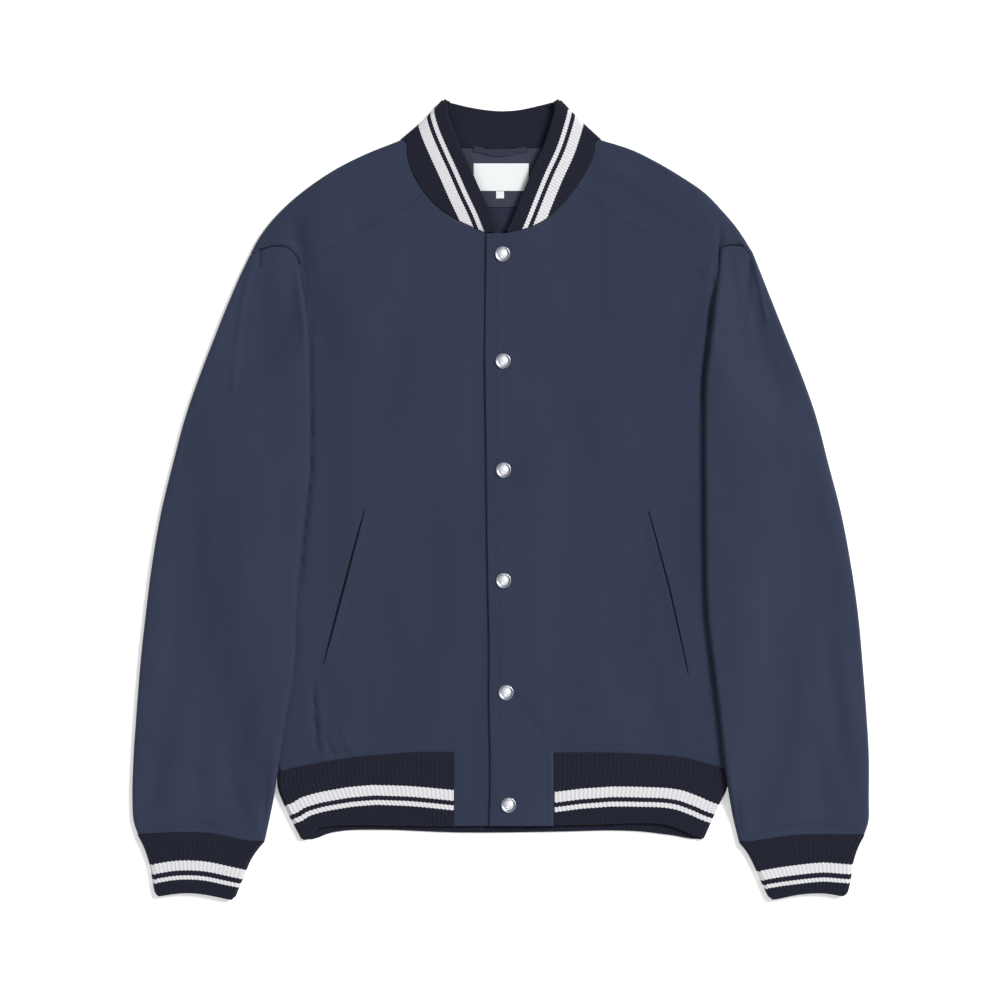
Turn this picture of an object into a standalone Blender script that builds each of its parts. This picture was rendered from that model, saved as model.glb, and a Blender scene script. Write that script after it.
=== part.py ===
"""Varsity jacket lying on its back, front up, with its sleeves over the body's sides.

Frame: metres, +X towards the wearer's left, +Y towards the collar, +Z up, the surface it lies on at z = 0.
The tables and sizes below are millimetres. A wall is made of stations, each an outer and an inner point.
"""
import math

import bmesh
import bpy
from mathutils import Vector
from mathutils.bvhtree import BVHTree

MM = 0.001

# Cloth and layers
CLOTH = 2.8                  # woven shell with its lining
RIB = 3.4                    # doubled rib knit
RIB_RELIEF = 0.6             # how far a rib stands out
LOFT = 3.6                   # air between the upper and lower layers
THICK = 2 * CLOTH + LOFT     # the laid body, and each laid sleeve
SEAM = 0.3                   # gap between pieces that meet or lie on each other
EDGE_GAP = 0.4               # the same, measured along Y on a slanted seam
LAP = CLOTH + SEAM           # how much higher the top front lies on the under front
HALF_SEAM_ANGLE = 2.0        # degrees kept free on each side of a side seam

# Rib pitches
HEM_PITCH = 4.4
CUFF_PITCH = 4.2
COLLAR_PITCH = 3.0

# Front opening
PLACKET_RIGHT_X = -46.5      # where the hem rib ends on the wearer's right
PLACKET_LEFT_X = 53.5        # where it ends on the wearer's left
UNDERLAP_X = 19.0            # free edge of the under front
OVERLAP_X = -13.5            # free edge of the top front
LAP_FLAT_X = 23.0            # the top front stays raised as far as this
LAP_END_X = 47.0             # and is down again here
PLACKET_COLUMNS_RIGHT = (-25.5, -15.5, OVERLAP_X + 8.0, UNDERLAP_X)
PLACKET_COLUMNS_LEFT = (46.5, 38.0, 30.0, LAP_FLAT_X, 6.5, OVERLAP_X)
FRONT_BOTTOM_Y = -326.0
NECK_FRONT_Y = 266.8         # top of both fronts between the collar's ends

# Sleeves over the body
LIFT = THICK + 0.6           # height of a sleeve's underside over the body
LIFT_MARGIN = 2.5            # how far outside the body's edge the underside starts to fall
LIFT_RUN = 28.0              # and how far it takes to reach the surface below
LIFT_ONSET_Y = 232.0         # below the head the sleeve starts to climb onto the body
LIFT_ONSET_RUN = 70.0
SOFT_START = 10.0            # the upper layer starts to fall earlier
SOFT_RUN = 30.0              # and takes longer
SLEEVE_FOLD_ANGLES = (125.0, 155.0, 180.0, 225.0)

CLOTH_COLOUR = (0.036, 0.052, 0.092)
RIB_COLOUR = (0.012, 0.014, 0.026)
LINING_COLOUR = (0.020, 0.025, 0.045)
LABEL_COLOUR = (0.80, 0.80, 0.80)
METAL_COLOUR = (0.70, 0.71, 0.74)

# Body edge, hem to shoulder, a row for each section. right_* is the wearer's right (-X), left_* the wearer's
# left. middle_y is the row's height at the centre of the back. round is 1 where the layers meet in a rounded
# side seam or fold, and 0 along the armhole, where each layer ends at the sleeve.
BODY_ROWS = (
    # right_x, right_y, middle_y, left_x, left_y, round
    (-222.5, -271.0, -258.0, 227.8, -270.0, 1.0),
    (-236.0, -220.0, -218.0, 240.0, -220.0, 1.0),
    (-250.0, -150.0, -150.0, 253.0, -150.0, 1.0),
    (-259.0, -60.0, -60.0, 262.0, -60.0, 1.0),
    (-266.0, 20.0, 20.0, 268.0, 20.0, 1.0),
    (-268.0, 68.0, 68.0, 270.0, 68.0, 1.0),
    (-250.0, 92.0, 92.0, 254.0, 92.0, 0.6),
    (-222.0, 122.0, 122.0, 232.0, 122.0, 0.0),
    (-191.0, 162.0, 162.0, 209.0, 162.0, 0.0),
    (-194.5, 196.0, 196.0, 213.5, 198.0, 0.0),
    (-199.0, 225.0, 222.0, 217.5, 228.0, 0.0),
)

# Shoulders, armhole corner to neck: the fold along the shoulder, and the end of the flap that the back panel
# brings over it to the front. The first rows run out along the armhole seam of the lower layer. The last rows
# end at the neck seam's first points.
SHOULDER_ROWS = (
    # right_x, right_y, middle_y, left_x, left_y, right_flap_x, right_flap_y, left_flap_x, left_flap_y
    (-203.0, 240.0, 236.0, 218.2, 240.0, None, None, None, None),
    (-226.5, 243.4, 245.0, 236.0, 243.0, None, None, None, None),
    (-250.0, 246.9, 256.0, 253.4, 246.0, -201.2, 236.0, 216.5, 221.0),
    (-240.5, 264.0, 270.0, 237.5, 271.0, -156.0, 262.0, 193.5, 232.5),
    (-227.5, 281.0, 284.0, 221.5, 290.0, -128.0, 277.0, 153.0, 264.0),
    (-209.5, 299.0, 300.0, 203.8, 308.0, -100.0, 292.0, 114.5, 285.0),
    (-189.5, 315.0, 314.0, 183.5, 322.0, -76.9, 308.0, 75.9, 313.0),
    (-163.5, 332.0, 328.0, 158.5, 337.0, -87.9, 326.0, 86.9, 330.0),
    (-135.5, 346.0, 340.0, 132.5, 350.0, -93.9, 346.0, 93.9, 346.5),
    (-101.5, 359.5, 351.5, 101.5, 360.0, -94.0, 356.5, 94.9, 357.0),
)
TIP_ROW = 2                  # the row at the shoulder tip
NECK_ROW = 6                 # the row where the forward shoulder seam meets the neck

# Armhole seam of the upper layer, from near the shoulder tip, over the sleeve head, to the forward seam.
ARMHOLE_RIGHT = ((-241.5, 250.4), (-227.5, 254.0), (-213.5, 252.6), (-203.0, 243.6), (-201.2, 236.0))
ARMHOLE_LEFT = ((243.5, 254.2), (234.5, 255.2), (226.5, 254.8), (219.0, 252.9), (216.5, 221.0))

# Neck seam of the fronts, shoulder to centre front.
NECK_RIGHT = ((-93.6, 356.5), (-93.5, 346.0), (-87.5, 326.0), (-76.5, 308.0), (-61.5, 292.0), (-46.5, 282.0),
              (-25.5, 272.0), (-15.5, 267.6))
NECK_LEFT = ((94.5, 357.0), (93.5, 346.5), (86.5, 330.0), (75.5, 313.0), (60.5, 294.5), (46.5, 282.0),
             (21.5, 270.5), (6.5, 268.0))

# Sleeves, head to cuff, a row for each section: the fold that outlines the sleeve and the one over the body.
SLEEVE_HEAD_INNER = (-203.6, 219.6)      # wearer's right, wearer's left
SLEEVE_RIGHT_ROWS = (
    # outer_x, outer_y, inner_x, inner_y
    (-260.5, 225.0, -199.6, 225.0),
    (-272.5, 197.0, -195.0, 196.0),
    (-286.5, 162.0, -191.5, 161.0),
    (-300.5, 126.0, -190.5, 122.0),
    (-314.5, 86.0, -190.5, 82.0),
    (-327.0, 40.0, -190.5, 34.0),
    (-339.5, -11.0, -195.0, -12.0),
    (-348.5, -62.0, -201.0, -62.0),
    (-355.0, -113.0, -204.0, -113.0),
    (-360.5, -164.0, -205.5, -164.0),
    (-364.5, -215.0, -211.0, -212.0),
    (-367.5, -260.0, -219.5, -257.0),
    (-368.5, -299.0, -228.5, -297.0),
    (-363.5, -333.6, -236.0, -340.4),
)
SLEEVE_LEFT_ROWS = (
    (261.0, 226.0, 217.9, 228.0),
    (272.5, 197.0, 213.9, 198.0),
    (286.5, 162.0, 209.5, 161.0),
    (301.0, 126.0, 205.0, 122.0),
    (315.5, 85.0, 204.0, 82.0),
    (328.0, 37.0, 204.0, 34.0),
    (340.5, -11.0, 204.3, -14.0),
    (350.0, -60.0, 204.8, -62.0),
    (357.8, -113.0, 206.4, -113.0),
    (362.5, -164.0, 212.3, -164.0),
    (366.3, -214.0, 218.3, -213.0),
    (368.8, -258.0, 223.0, -257.0),
    (368.5, -299.0, 229.5, -298.0),
    (363.0, -335.4, 239.0, -341.8),
)

# Cuffs, seam to edge: the two side folds.
CUFF_RIGHT_ROWS = (
    (-363.2, -334.3, -235.8, -341.0),
    (-352.0, -356.0, -245.5, -355.0),
    (-349.0, -375.0, -257.5, -377.0),
    (-343.5, -396.0, -266.5, -400.0),
)
CUFF_LEFT_ROWS = (
    (363.0, -336.0, 238.8, -342.5),
    (353.5, -353.0, 251.0, -357.0),
    (351.0, -377.0, 260.5, -380.0),
    (345.5, -396.0, 269.5, -399.5),
)

# Hem rib: the side fold of each row, seam to edge, with the height of the upper and of the lower layer there.
HEM_SIDES = (
    # right_x, right_upper_y, right_lower_y, left_x, left_upper_y, left_lower_y
    (-222.8, -271.4, -271.4, 228.0, -270.4, -270.4),
    (-217.0, -303.0, -304.5, 219.5, -302.0, -304.5),
    (-197.5, -334.0, -340.0, 201.0, -336.0, -339.5),
)
HEM_SEAM = ((-222.5, -271.0), (-181.5, -263.0), (-147.5, -257.6), (-121.5, -255.0), (-86.5, -252.4),
            (-46.5, -252.2), (53.5, -252.7), (115.5, -253.0), (148.5, -254.5), (173.5, -256.5),
            (190.5, -259.5), (227.8, -270.0))
HEM_FRONT_EDGE = ((-197.5, -335.0), (-190.0, -331.0), (-173.0, -326.5), (-147.5, -325.0), (-112.5, -325.6),
                  (-46.5, -326.2), (53.5, -325.2), (99.5, -324.6), (140.5, -323.2), (165.5, -325.0),
                  (181.5, -330.5), (201.0, -338.0))
HEM_BACK_EDGE = ((-197.5, -340.0), (-178.5, -335.0), (-155.5, -331.0), (-130.5, -330.2), (-43.5, -333.0),
                 (65.5, -332.0), (115.5, -331.0), (140.5, -332.0), (165.5, -335.0), (201.0, -339.5))

# Collar: free edge and side folds.
COLLAR_EDGE_RIGHT = ((-54.0, 396.0), (-39.5, 353.0), (-33.5, 333.5), (-24.5, 313.0), (-13.5, 290.0),
                     (-4.5, 269.0))
COLLAR_EDGE_LEFT = ((56.0, 396.0), (49.5, 377.0), (40.5, 356.0), (31.0, 333.5), (21.5, 313.0), (14.5, 291.0),
                    (6.0, 269.5))
COLLAR_EDGE_BACK = ((-54.0, 398.6), (-34.5, 394.0), (-13.5, 390.0), (2.0, 389.0), (17.5, 390.0),
                    (35.5, 394.0), (55.0, 398.6))
COLLAR_SIDES = (
    # right_x, right_y, left_x, left_y, front_top_z, back_bottom_z
    (-99.5, 360.3, 100.0, 360.8, 9.8, 0.0),
    (-76.5, 380.5, 79.0, 380.5, 13.2, 0.6),
    (-57.5, 400.0, 59.5, 400.0, 16.0, 2.4),
)
COLLAR_END_DROP = (0.0, 1.4, 2.8)      # how much lower each row lies at the centre front

# Soft creases: centre, direction from +X in degrees, half length, half width, height.
FRONT_CREASES = (
    # x, y, angle, half_length, half_width, height
    (-120.0, 150.0, 78.0, 120.0, 26.0, 0.9),
    (-165.0, -60.0, 84.0, 150.0, 22.0, -0.8),
    (-95.0, -190.0, 74.0, 70.0, 20.0, 0.7),
    (130.0, 140.0, 102.0, 130.0, 26.0, 0.9),
    (165.0, -90.0, 94.0, 130.0, 20.0, -0.8),
    (110.0, -200.0, 112.0, 70.0, 20.0, 0.7),
)
SLEEVE_CREASES = (
    (-248.0, 190.0, 104.0, 60.0, 12.0, 1.0),
    (-225.0, -20.0, 86.0, 140.0, 18.0, -0.9),
    (-320.0, -200.0, 82.0, 90.0, 22.0, 1.0),
    (-280.0, -270.0, 96.0, 60.0, 14.0, 1.0),
    (252.0, 190.0, 80.0, 60.0, 12.0, 1.0),
    (235.0, -40.0, 94.0, 140.0, 18.0, -0.9),
    (318.0, -210.0, 98.0, 90.0, 22.0, 1.0),
    (282.0, -275.0, 86.0, 60.0, 14.0, 1.0),
)

LABEL = (-27.0, 28.2, 309.3, 336.9)            # x from, x to, y from, y to
SIZE_TAB = (-4.5, 3.5, 301.8, 309.0)
LABEL_THICK = 0.5
TAPE_THICK = 1.0
LOOP_PATH = ((-25.5, 350.6), (-17.0, 348.6), (-5.0, 347.0), (6.0, 347.2), (18.0, 348.8), (26.5, 350.6))
LOOP_WIDTH = 4.6

POCKET_RIGHT = ((-135.5, -10.0), (-155.2, -85.0), (-176.5, -164.0))
POCKET_LEFT = ((147.5, -11.0), (168.3, -90.0), (187.5, -174.0))
WELT_WIDTH = 9.0
WELT_THICK = 1.2

SNAPS = ((2.0, 246.0), (2.5, 139.0), (3.0, 30.0), (3.0, -80.5), (5.5, -192.5), (8.0, -305.0))
SNAP_SIDES = 16
SNAP_PROFILE = ((7.6, 0.0), (7.7, 1.0), (6.6, 1.5), (5.8, 1.2), (4.2, 2.4))    # radius, height


# ---------------------------------------------------------------- helpers

def smoothstep(value):
    """0 to 1 with soft ends."""
    value = min(1.0, max(0.0, value))
    return value * value * (3.0 - 2.0 * value)


def mix(a, b, share):
    return a + (b - a) * share


def height_at(table, x):
    """Read the second column of a table at x, straight between its rows."""
    rows = sorted(table)
    for (x0, y0), (x1, y1) in zip(rows, rows[1:]):
        if x <= x1:
            return mix(y0, y1, max(0.0, x - x0) / (x1 - x0))
    return rows[-1][1]


def along(points, share):
    """The point at a share of a polyline's length."""
    pieces = [math.dist(a, b) for a, b in zip(points, points[1:])]
    left = share * sum(pieces)
    for (a, b), length in zip(zip(points, points[1:]), pieces):
        if left <= length + 1e-9:
            return mix(a[0], b[0], left / length), mix(a[1], b[1], left / length)
        left -= length
    return points[-1]


def length_of(points):
    return sum(math.dist(a, b) for a, b in zip(points, points[1:]))


def shares(count):
    return [index / count for index in range(count + 1)]


def crease(table, x, y):
    """Height that the soft creases of a table add at one place."""
    total = 0.0
    for centre_x, centre_y, angle, half_length, half_width, height in table:
        turn = math.radians(angle)
        dx, dy = x - centre_x, y - centre_y
        run = (dx * math.cos(turn) + dy * math.sin(turn)) / half_length
        side = (dy * math.cos(turn) - dx * math.sin(turn)) / half_width
        total += height * math.exp(-run * run - side * side)
    return total


# ---------------------------------------------------------------- stations

def upper(x, y, z, thick, rib=0.0):
    """A station of an upper layer: its outer side faces up."""
    return Vector((x, y, z + rib)), Vector((x, y, z - thick))


def lower(x, y, z, thick, rib=0.0):
    """A station of a lower layer: its outer side faces down, and a rib stands up from its inner side."""
    return Vector((x, y, z)), Vector((x, y, z + thick + rib))


def turned(x, upper_y, lower_y, bottom, top, outward, angle, thick, rib=0.0):
    """A station on a side fold. angle 90 is its top and 270 its bottom; x is its outermost reach."""
    radius = (top - bottom) / 2.0
    centre = x - outward * radius
    turn = math.radians(angle)
    y = mix(upper_y, lower_y, min(1.0, (angle - 90.0) / 90.0))
    reach, rise = -math.cos(turn) * outward, math.sin(turn)
    points = []
    for size in (radius + rib, radius - thick):
        points.append(Vector((centre + reach * size, y, bottom + radius + rise * size)))
    return tuple(points)


def blended(station, flat, share):
    """Between a flat station and a folded one."""
    return tuple(f.lerp(s, share) for s, f in zip(station, flat))


# ---------------------------------------------------------------- solids

def make_material(name, colour, roughness, metallic):
    material = bpy.data.materials.new(name)
    material.use_nodes = True
    shader = material.node_tree.nodes["Principled BSDF"]
    shader.inputs["Base Color"].default_value = (*colour, 1.0)
    shader.inputs["Roughness"].default_value = roughness
    shader.inputs["Metallic"].default_value = metallic
    return material


def add_object(name, mesh, colour, roughness=0.85, metallic=0.0):
    """Turn a bmesh into a named object with its own material."""
    loose = [vert for vert in mesh.verts if not vert.link_faces]
    bmesh.ops.delete(mesh, geom=loose, context="VERTS")
    bmesh.ops.recalc_face_normals(mesh, faces=mesh.faces)
    data = bpy.data.meshes.new(name)
    mesh.to_mesh(data)
    mesh.free()
    data.materials.append(make_material(name, colour, roughness, metallic))
    part = bpy.data.objects.new(name, data)
    bpy.context.scene.collection.objects.link(part)
    return part


def wall(name, rows, colour, ring=False, keep=None, roughness=0.85):
    """Close a wall through rows of stations. ring joins each row's ends; keep(row, column) leaves cells out."""
    mesh = bmesh.new()
    skins = []
    for side in (0, 1):
        skins.append([[mesh.verts.new(station[side] * MM) for station in row] for row in rows])
    across = len(rows[0]) if ring else len(rows[0]) - 1
    cells = {(i, j) for i in range(len(rows) - 1) for j in range(across) if keep is None or keep(i, j)}
    count = len(rows[0])
    for i, j in sorted(cells):
        after = (j + 1) % count
        corners = ((i, j), (i, after), (i + 1, after), (i + 1, j))
        mesh.faces.new([skins[0][a][b] for a, b in corners])
        mesh.faces.new([skins[1][a][b] for a, b in reversed(corners)])
        before = (j - 1) % across if ring else j - 1
        beyond = (j + 1) % across if ring else j + 1
        for beside, a, b in (((i - 1, j), 0, 1), ((i, beyond), 1, 2), ((i + 1, j), 2, 3), ((i, before), 3, 0)):
            if beside not in cells:
                (ai, aj), (bi, bj) = corners[a], corners[b]
                mesh.faces.new((skins[0][bi][bj], skins[0][ai][aj], skins[1][ai][aj], skins[1][bi][bj]))
    return add_object(name, mesh, colour, roughness)


def strip(name, path, width, thick, height, colour, roughness=0.85):
    """A flat tape along a path, width to its right, on a surface whose height is given by a function."""
    rows = []
    for index, (x, y) in enumerate(path):
        ahead = path[min(index + 1, len(path) - 1)]
        behind = path[max(index - 1, 0)]
        run = Vector((ahead[0] - behind[0], ahead[1] - behind[1])).normalized()
        row = []
        for share in (0.0, 0.5, 1.0):
            px, py = x + run.y * width * share, y - run.x * width * share
            row.append(lower(px, py, height(px, py) + SEAM, thick))
        rows.append(row)
    return wall(name, rows, colour, roughness=roughness)


# ---------------------------------------------------------------- body

def body_edge(side, y):
    """How far from the centre the laid body reaches at y, on one side (-1 wearer's right, +1 left)."""
    table = []
    for right_x, right_y, _, left_x, left_y, _ in BODY_ROWS:
        table.append((right_y, -right_x) if side < 0 else (left_y, left_x))
    for right_x, right_y, _, left_x, _, left_y in HEM_SIDES[1:]:
        table.append((right_y, -right_x) if side < 0 else (left_y, left_x))
    return height_at(table, y)


def lap_rise(x):
    """How much the top front is raised by the under front below it."""
    return LAP * (1.0 - smoothstep((x - LAP_FLAT_X) / (LAP_END_X - LAP_FLAT_X)))


EDGE_ANGLES = (0.0, 30.0, 60.0)      # from the side seam up or down to the flat layer


def edge_stations(x, y, inward, is_upper, roundness):
    """The rounded edge of one layer, from the side seam inwards. Its last neighbour lies THICK / 2 in."""
    found = []
    radius = THICK / 2.0
    for angle in EDGE_ANGLES:
        step = max(angle, HALF_SEAM_ANGLE)
        turn = 180.0 - step if is_upper else 180.0 + step
        folded = turned(x, y, y, 0.0, THICK, -inward, turn, CLOTH)
        inset = radius * (1.0 - math.cos(math.radians(step)))
        flat_x = x + inward * inset
        flat = upper(flat_x, y, THICK, CLOTH) if is_upper else lower(flat_x, y, 0.0, CLOTH)
        found.append(blended(folded, flat, roundness))
    return found


FOLD_ANGLES = (90.0, 120.0, 150.0, 180.0 - HALF_SEAM_ANGLE)
FLAP_SHARES = (0.14, 0.3, 0.5, 0.75, 1.0)
LOWER_SHARES = (0.0, 0.08, 0.16, 0.28, 0.4, 0.5, 0.6, 0.72, 0.84, 0.92, 1.0)


def lower_line(level):
    """The back panel's lower layer along one row, in plan, with both ends at the side edges."""
    all_rows = [row[:5] for row in BODY_ROWS + SHOULDER_ROWS]
    right_x, right_y, middle_y, left_x, left_y = all_rows[level]
    radius = THICK / 2.0
    bulge = middle_y - (right_y + left_y) / 2.0
    line = [(right_x, right_y)]
    for share in LOWER_SHARES:
        x = mix(right_x + radius, left_x - radius, share)
        y = mix(right_y, left_y, share) + bulge * (1.0 - (2.0 * share - 1.0) ** 2)
        line.append((x, y))
    return line + [(left_x, left_y)]


def back_row(level):
    """Stations from the right flap's end, round under the back, to the left flap's end."""
    shoulder = level - len(BODY_ROWS)
    if shoulder >= 0:
        right_x, right_y, _, left_x, left_y, *ends = SHOULDER_ROWS[shoulder]
        roundness = 1.0 if shoulder >= TIP_ROW else 0.0
    else:
        right_x, right_y, _, left_x, left_y, roundness = BODY_ROWS[level]
        ends = (None,) * 4
    radius = THICK / 2.0
    sides = []
    for side, x, y, end_x, end_y, armhole in ((-1, right_x, right_y, *ends[:2], ARMHOLE_RIGHT),
                                              (1, left_x, left_y, *ends[2:], ARMHOLE_LEFT)):
        centre = (x - side * radius, y)
        if end_x is None:
            end_x, end_y = x - side * 60.0, y
        if shoulder == TIP_ROW:
            plan = armhole
        else:
            plan = [along((centre, (end_x, end_y)), share) for share in FLAP_SHARES]
        flap = [upper(px, py, THICK, CLOTH) for px, py in reversed(plan)]
        fold = [turned(x, y, y, 0.0, THICK, side, angle, CLOTH) for angle in FOLD_ANGLES]
        sides.append(flap + fold + edge_stations(x, y, -side, False, roundness))
    low = [lower(x, y, 0.0, CLOTH) for x, y in lower_line(level)[1:-1]]
    return sides[0] + low + sides[1][::-1]


def make_back():
    rows = [back_row(level) for level in range(len(BODY_ROWS) + len(SHOULDER_ROWS))]
    first_flap = len(BODY_ROWS) + TIP_ROW
    upper_count = len(FLAP_SHARES) + len(FOLD_ANGLES)
    last = len(rows[0]) - 1

    def keep(i, j):
        in_flap = j < upper_count or j >= last - upper_count
        return i >= first_flap or not in_flap

    return wall("back", rows, CLOTH_COLOUR, keep=keep)


def side_rows(side):
    """A front's own part of BODY_ROWS, as x, y and roundness, up to where the forward seam starts."""
    found = []
    for right_x, right_y, _, left_x, left_y, roundness in BODY_ROWS:
        found.append((right_x, right_y, roundness) if side < 0 else (left_x, left_y, roundness))
    start = SHOULDER_ROWS[TIP_ROW][5:7] if side < 0 else SHOULDER_ROWS[TIP_ROW][7:9]
    found = [row for row in found if row[1] < start[1] - 4.0]
    return found + [(start[0], start[1] - EDGE_GAP, 0.0)]


def front_columns(side):
    """Top and bottom point of each column of a front, from its side to the end of the hem rib."""
    placket = placket_x(side)
    neck = neck_seam(side)
    if side < 0:
        tops = [row[5:7] for row in SHOULDER_ROWS[TIP_ROW:NECK_ROW]]
    else:
        tops = [row[7:9] for row in SHOULDER_ROWS[TIP_ROW:NECK_ROW]]
    tops += [neck[3], neck[4], (placket, height_at(neck, placket))]
    corner_x = side_rows(side)[0][0]
    columns = []
    for x, y in tops:
        share = (x - tops[0][0]) / (placket - tops[0][0])
        low_x = mix(corner_x, placket, share)
        columns.append((x, y - EDGE_GAP, low_x, height_at(HEM_SEAM, low_x) + SEAM / 2.0, share))
    return columns


def hem_line(side):
    """Where a front's bottom edge meets the hem rib."""
    corner_x, corner_y, _ = side_rows(side)[0]
    inner = (corner_x - side * THICK / 2.0, corner_y)
    return [(corner_x, corner_y), inner] + [column[2:4] for column in front_columns(side)[1:]]


def placket_x(side):
    return PLACKET_RIGHT_X if side < 0 else PLACKET_LEFT_X


def neck_seam(side):
    return NECK_RIGHT if side < 0 else NECK_LEFT


def neck_y(side, x):
    """Top of a front at x, in its placket."""
    neck = neck_seam(side)
    beyond = (x - neck[-1][0]) * side < 0.0
    return NECK_FRONT_Y if beyond else height_at(neck, x) - EDGE_GAP


def front_rows(side):
    """Rows of a front, from its bottom edge to the neck, each from the side seam to the free edge."""
    edge = side_rows(side)
    columns = front_columns(side)
    placket = placket_x(side)
    hem_y = columns[-1][3]
    neck_top = columns[-1][1]
    below = (FRONT_BOTTOM_Y, mix(FRONT_BOTTOM_Y, hem_y, 0.5))
    rows = []
    for level in range(-len(below), len(edge)):
        x_edge, y_edge, roundness = edge[max(level, 0)]
        rise = (y_edge - edge[0][1]) / (edge[-1][1] - edge[0][1])
        row = edge_stations(x_edge, y_edge, -side, True, roundness)
        for index, (top_x, top_y, low_x, low_y, share) in enumerate(columns):
            x = mix(x_edge, placket, share) + mix(low_x, top_x, rise)
            x -= mix(mix(edge[0][0], edge[-1][0], rise), placket, share)
            y = mix(y_edge, mix(hem_y, neck_top, rise), share) + mix(low_y, top_y, rise)
            y -= mix(mix(edge[0][1], edge[-1][1], rise), mix(hem_y, neck_top, rise), share)
            if index == 0:
                x, y = x_edge - side * THICK / 2.0, y_edge
            if level < 0:
                y = below[level]
            row.append(upper(x, y, front_height(side, x, y), CLOTH))
        for x in PLACKET_COLUMNS_RIGHT if side < 0 else PLACKET_COLUMNS_LEFT:
            y = below[level] if level < 0 else mix(hem_y, neck_y(side, x), rise)
            row.append(upper(x, y, front_height(side, x, y), CLOTH))
        rows.append(row)
    return rows, len(below), len(EDGE_ANGLES) + len(columns) - 1


def front_height(side, x, y):
    """Upper surface of a front. The top front lies on the under front at the placket."""
    lap = lap_rise(x) if side > 0 else 0.0
    return THICK + lap + crease(FRONT_CREASES, x, y)


def make_front(name, side):
    rows, below, placket_column = front_rows(side)

    def keep(i, j):
        return i >= below or j >= placket_column

    return wall(name, rows, CLOTH_COLOUR, keep=keep)


# ---------------------------------------------------------------- sleeves and cuffs

def sleeve_lift(side, reach, y, run=LIFT_RUN, start=LIFT_MARGIN):
    """Height of a sleeve's underside at a distance from the centre: up over the body, down outside it."""
    edge = body_edge(side, y) + start
    onset = smoothstep((LIFT_ONSET_Y - y) / LIFT_ONSET_RUN)
    return LIFT * onset * (1.0 - smoothstep((reach - edge) / run))


def sleeve_plan(side, inner, outer, y):
    """Distances from the centre of a ring's stations, inner fold to outer fold."""
    radius = THICK / 2.0
    first, last = inner + radius, outer - radius
    over = min(max(first + 3.0, body_edge(side, y) + LIFT_MARGIN), last - 24.0)
    down = min(over + LIFT_RUN, last - 8.0)
    fall = [mix(over, down, share) for share in (0.33, 0.67)]
    return [first, mix(first, over, 0.5), over, *fall, down, mix(down, last, 0.5), last]


def sleeve_folds(side, inner, outer, first, last, inner_ys, outer_ys):
    """Stations of both folds of a ring. first and last are the lifts there."""
    folds = []
    for reach, outward, lift, ys in ((inner, -side, first, inner_ys), (outer, side, last, outer_ys)):
        folds.append([turned(side * reach, *ys, lift, lift + THICK, outward, angle, CLOTH)
                      for angle in SLEEVE_FOLD_ANGLES])
    return folds


def sleeve_ring(side, row):
    outer_x, outer_y, inner_x, inner_y = row
    outer, inner = abs(outer_x), abs(inner_x)
    plan = sleeve_plan(side, inner, outer, (outer_y + inner_y) / 2.0)
    tops, bottoms = [], []
    for index, reach in enumerate(plan):
        y = mix(inner_y, outer_y, (reach - inner) / (outer - inner))
        lift = sleeve_lift(side, reach, y)
        soft = sleeve_lift(side, reach, y, LIFT_RUN + SOFT_RUN, LIFT_MARGIN - SOFT_START)
        soft = lift if index in (0, len(plan) - 1) else max(soft, lift - LOFT + 1.0)
        tops.append(upper(side * reach, y, soft + THICK + crease(SLEEVE_CREASES, side * reach, y), CLOTH))
        bottoms.append(lower(side * reach, y, lift, CLOTH))
    first = sleeve_lift(side, plan[0], inner_y)
    last = sleeve_lift(side, plan[-1], outer_y)
    folds = sleeve_folds(side, inner, outer, first, last, (inner_y, inner_y), (outer_y, outer_y))
    return tops + folds[1] + bottoms[::-1] + folds[0][::-1]


def sleeve_head(side):
    """The ring at the armhole seam. Its upper half arches with the seam, its lower half is straight."""
    armhole = ARMHOLE_RIGHT if side < 0 else ARMHOLE_LEFT
    level = SHOULDER_ROWS[TIP_ROW]
    corner = SHOULDER_ROWS[0]
    tip_x, tip_y = level[0:2] if side < 0 else level[3:5]
    corner_y = corner[1] if side < 0 else corner[4]
    inner = abs(SLEEVE_HEAD_INNER[0 if side < 0 else 1])
    outer = abs(tip_x)
    radius = THICK / 2.0
    first, last = inner + radius, outer - radius
    arch = [(abs(x), y) for x, y in armhole[:4]] + [(last, tip_y), (outer + 1.0, tip_y)]
    peak = [abs(armhole[index][0]) for index in (2, 1, 0)]
    plan = [first, peak[0], mix(peak[0], peak[1], 0.5), peak[1], mix(peak[1], peak[2], 0.33),
            mix(peak[1], peak[2], 0.67), peak[2], last]
    tops, bottoms = [], []
    for reach in plan:
        tops.append(upper(side * reach, height_at(arch, reach) - EDGE_GAP, THICK, CLOTH))
        straight = mix(corner_y, tip_y, (reach - inner) / (outer - inner)) - EDGE_GAP
        bottoms.append(lower(side * reach, straight, 0.0, CLOTH))
    inner_ys = (armhole[3][1] - EDGE_GAP, corner_y - EDGE_GAP)
    outer_ys = (tip_y - EDGE_GAP, tip_y - 3.0 * EDGE_GAP)
    folds = sleeve_folds(side, inner, outer, 0.0, 0.0, inner_ys, outer_ys)
    return tops + folds[1] + bottoms[::-1] + folds[0][::-1]


def make_sleeve(name, side, table):
    rows = [sleeve_head(side)] + [sleeve_ring(side, row) for row in table]
    return wall(name, rows, CLOTH_COLOUR, ring=True)


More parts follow.
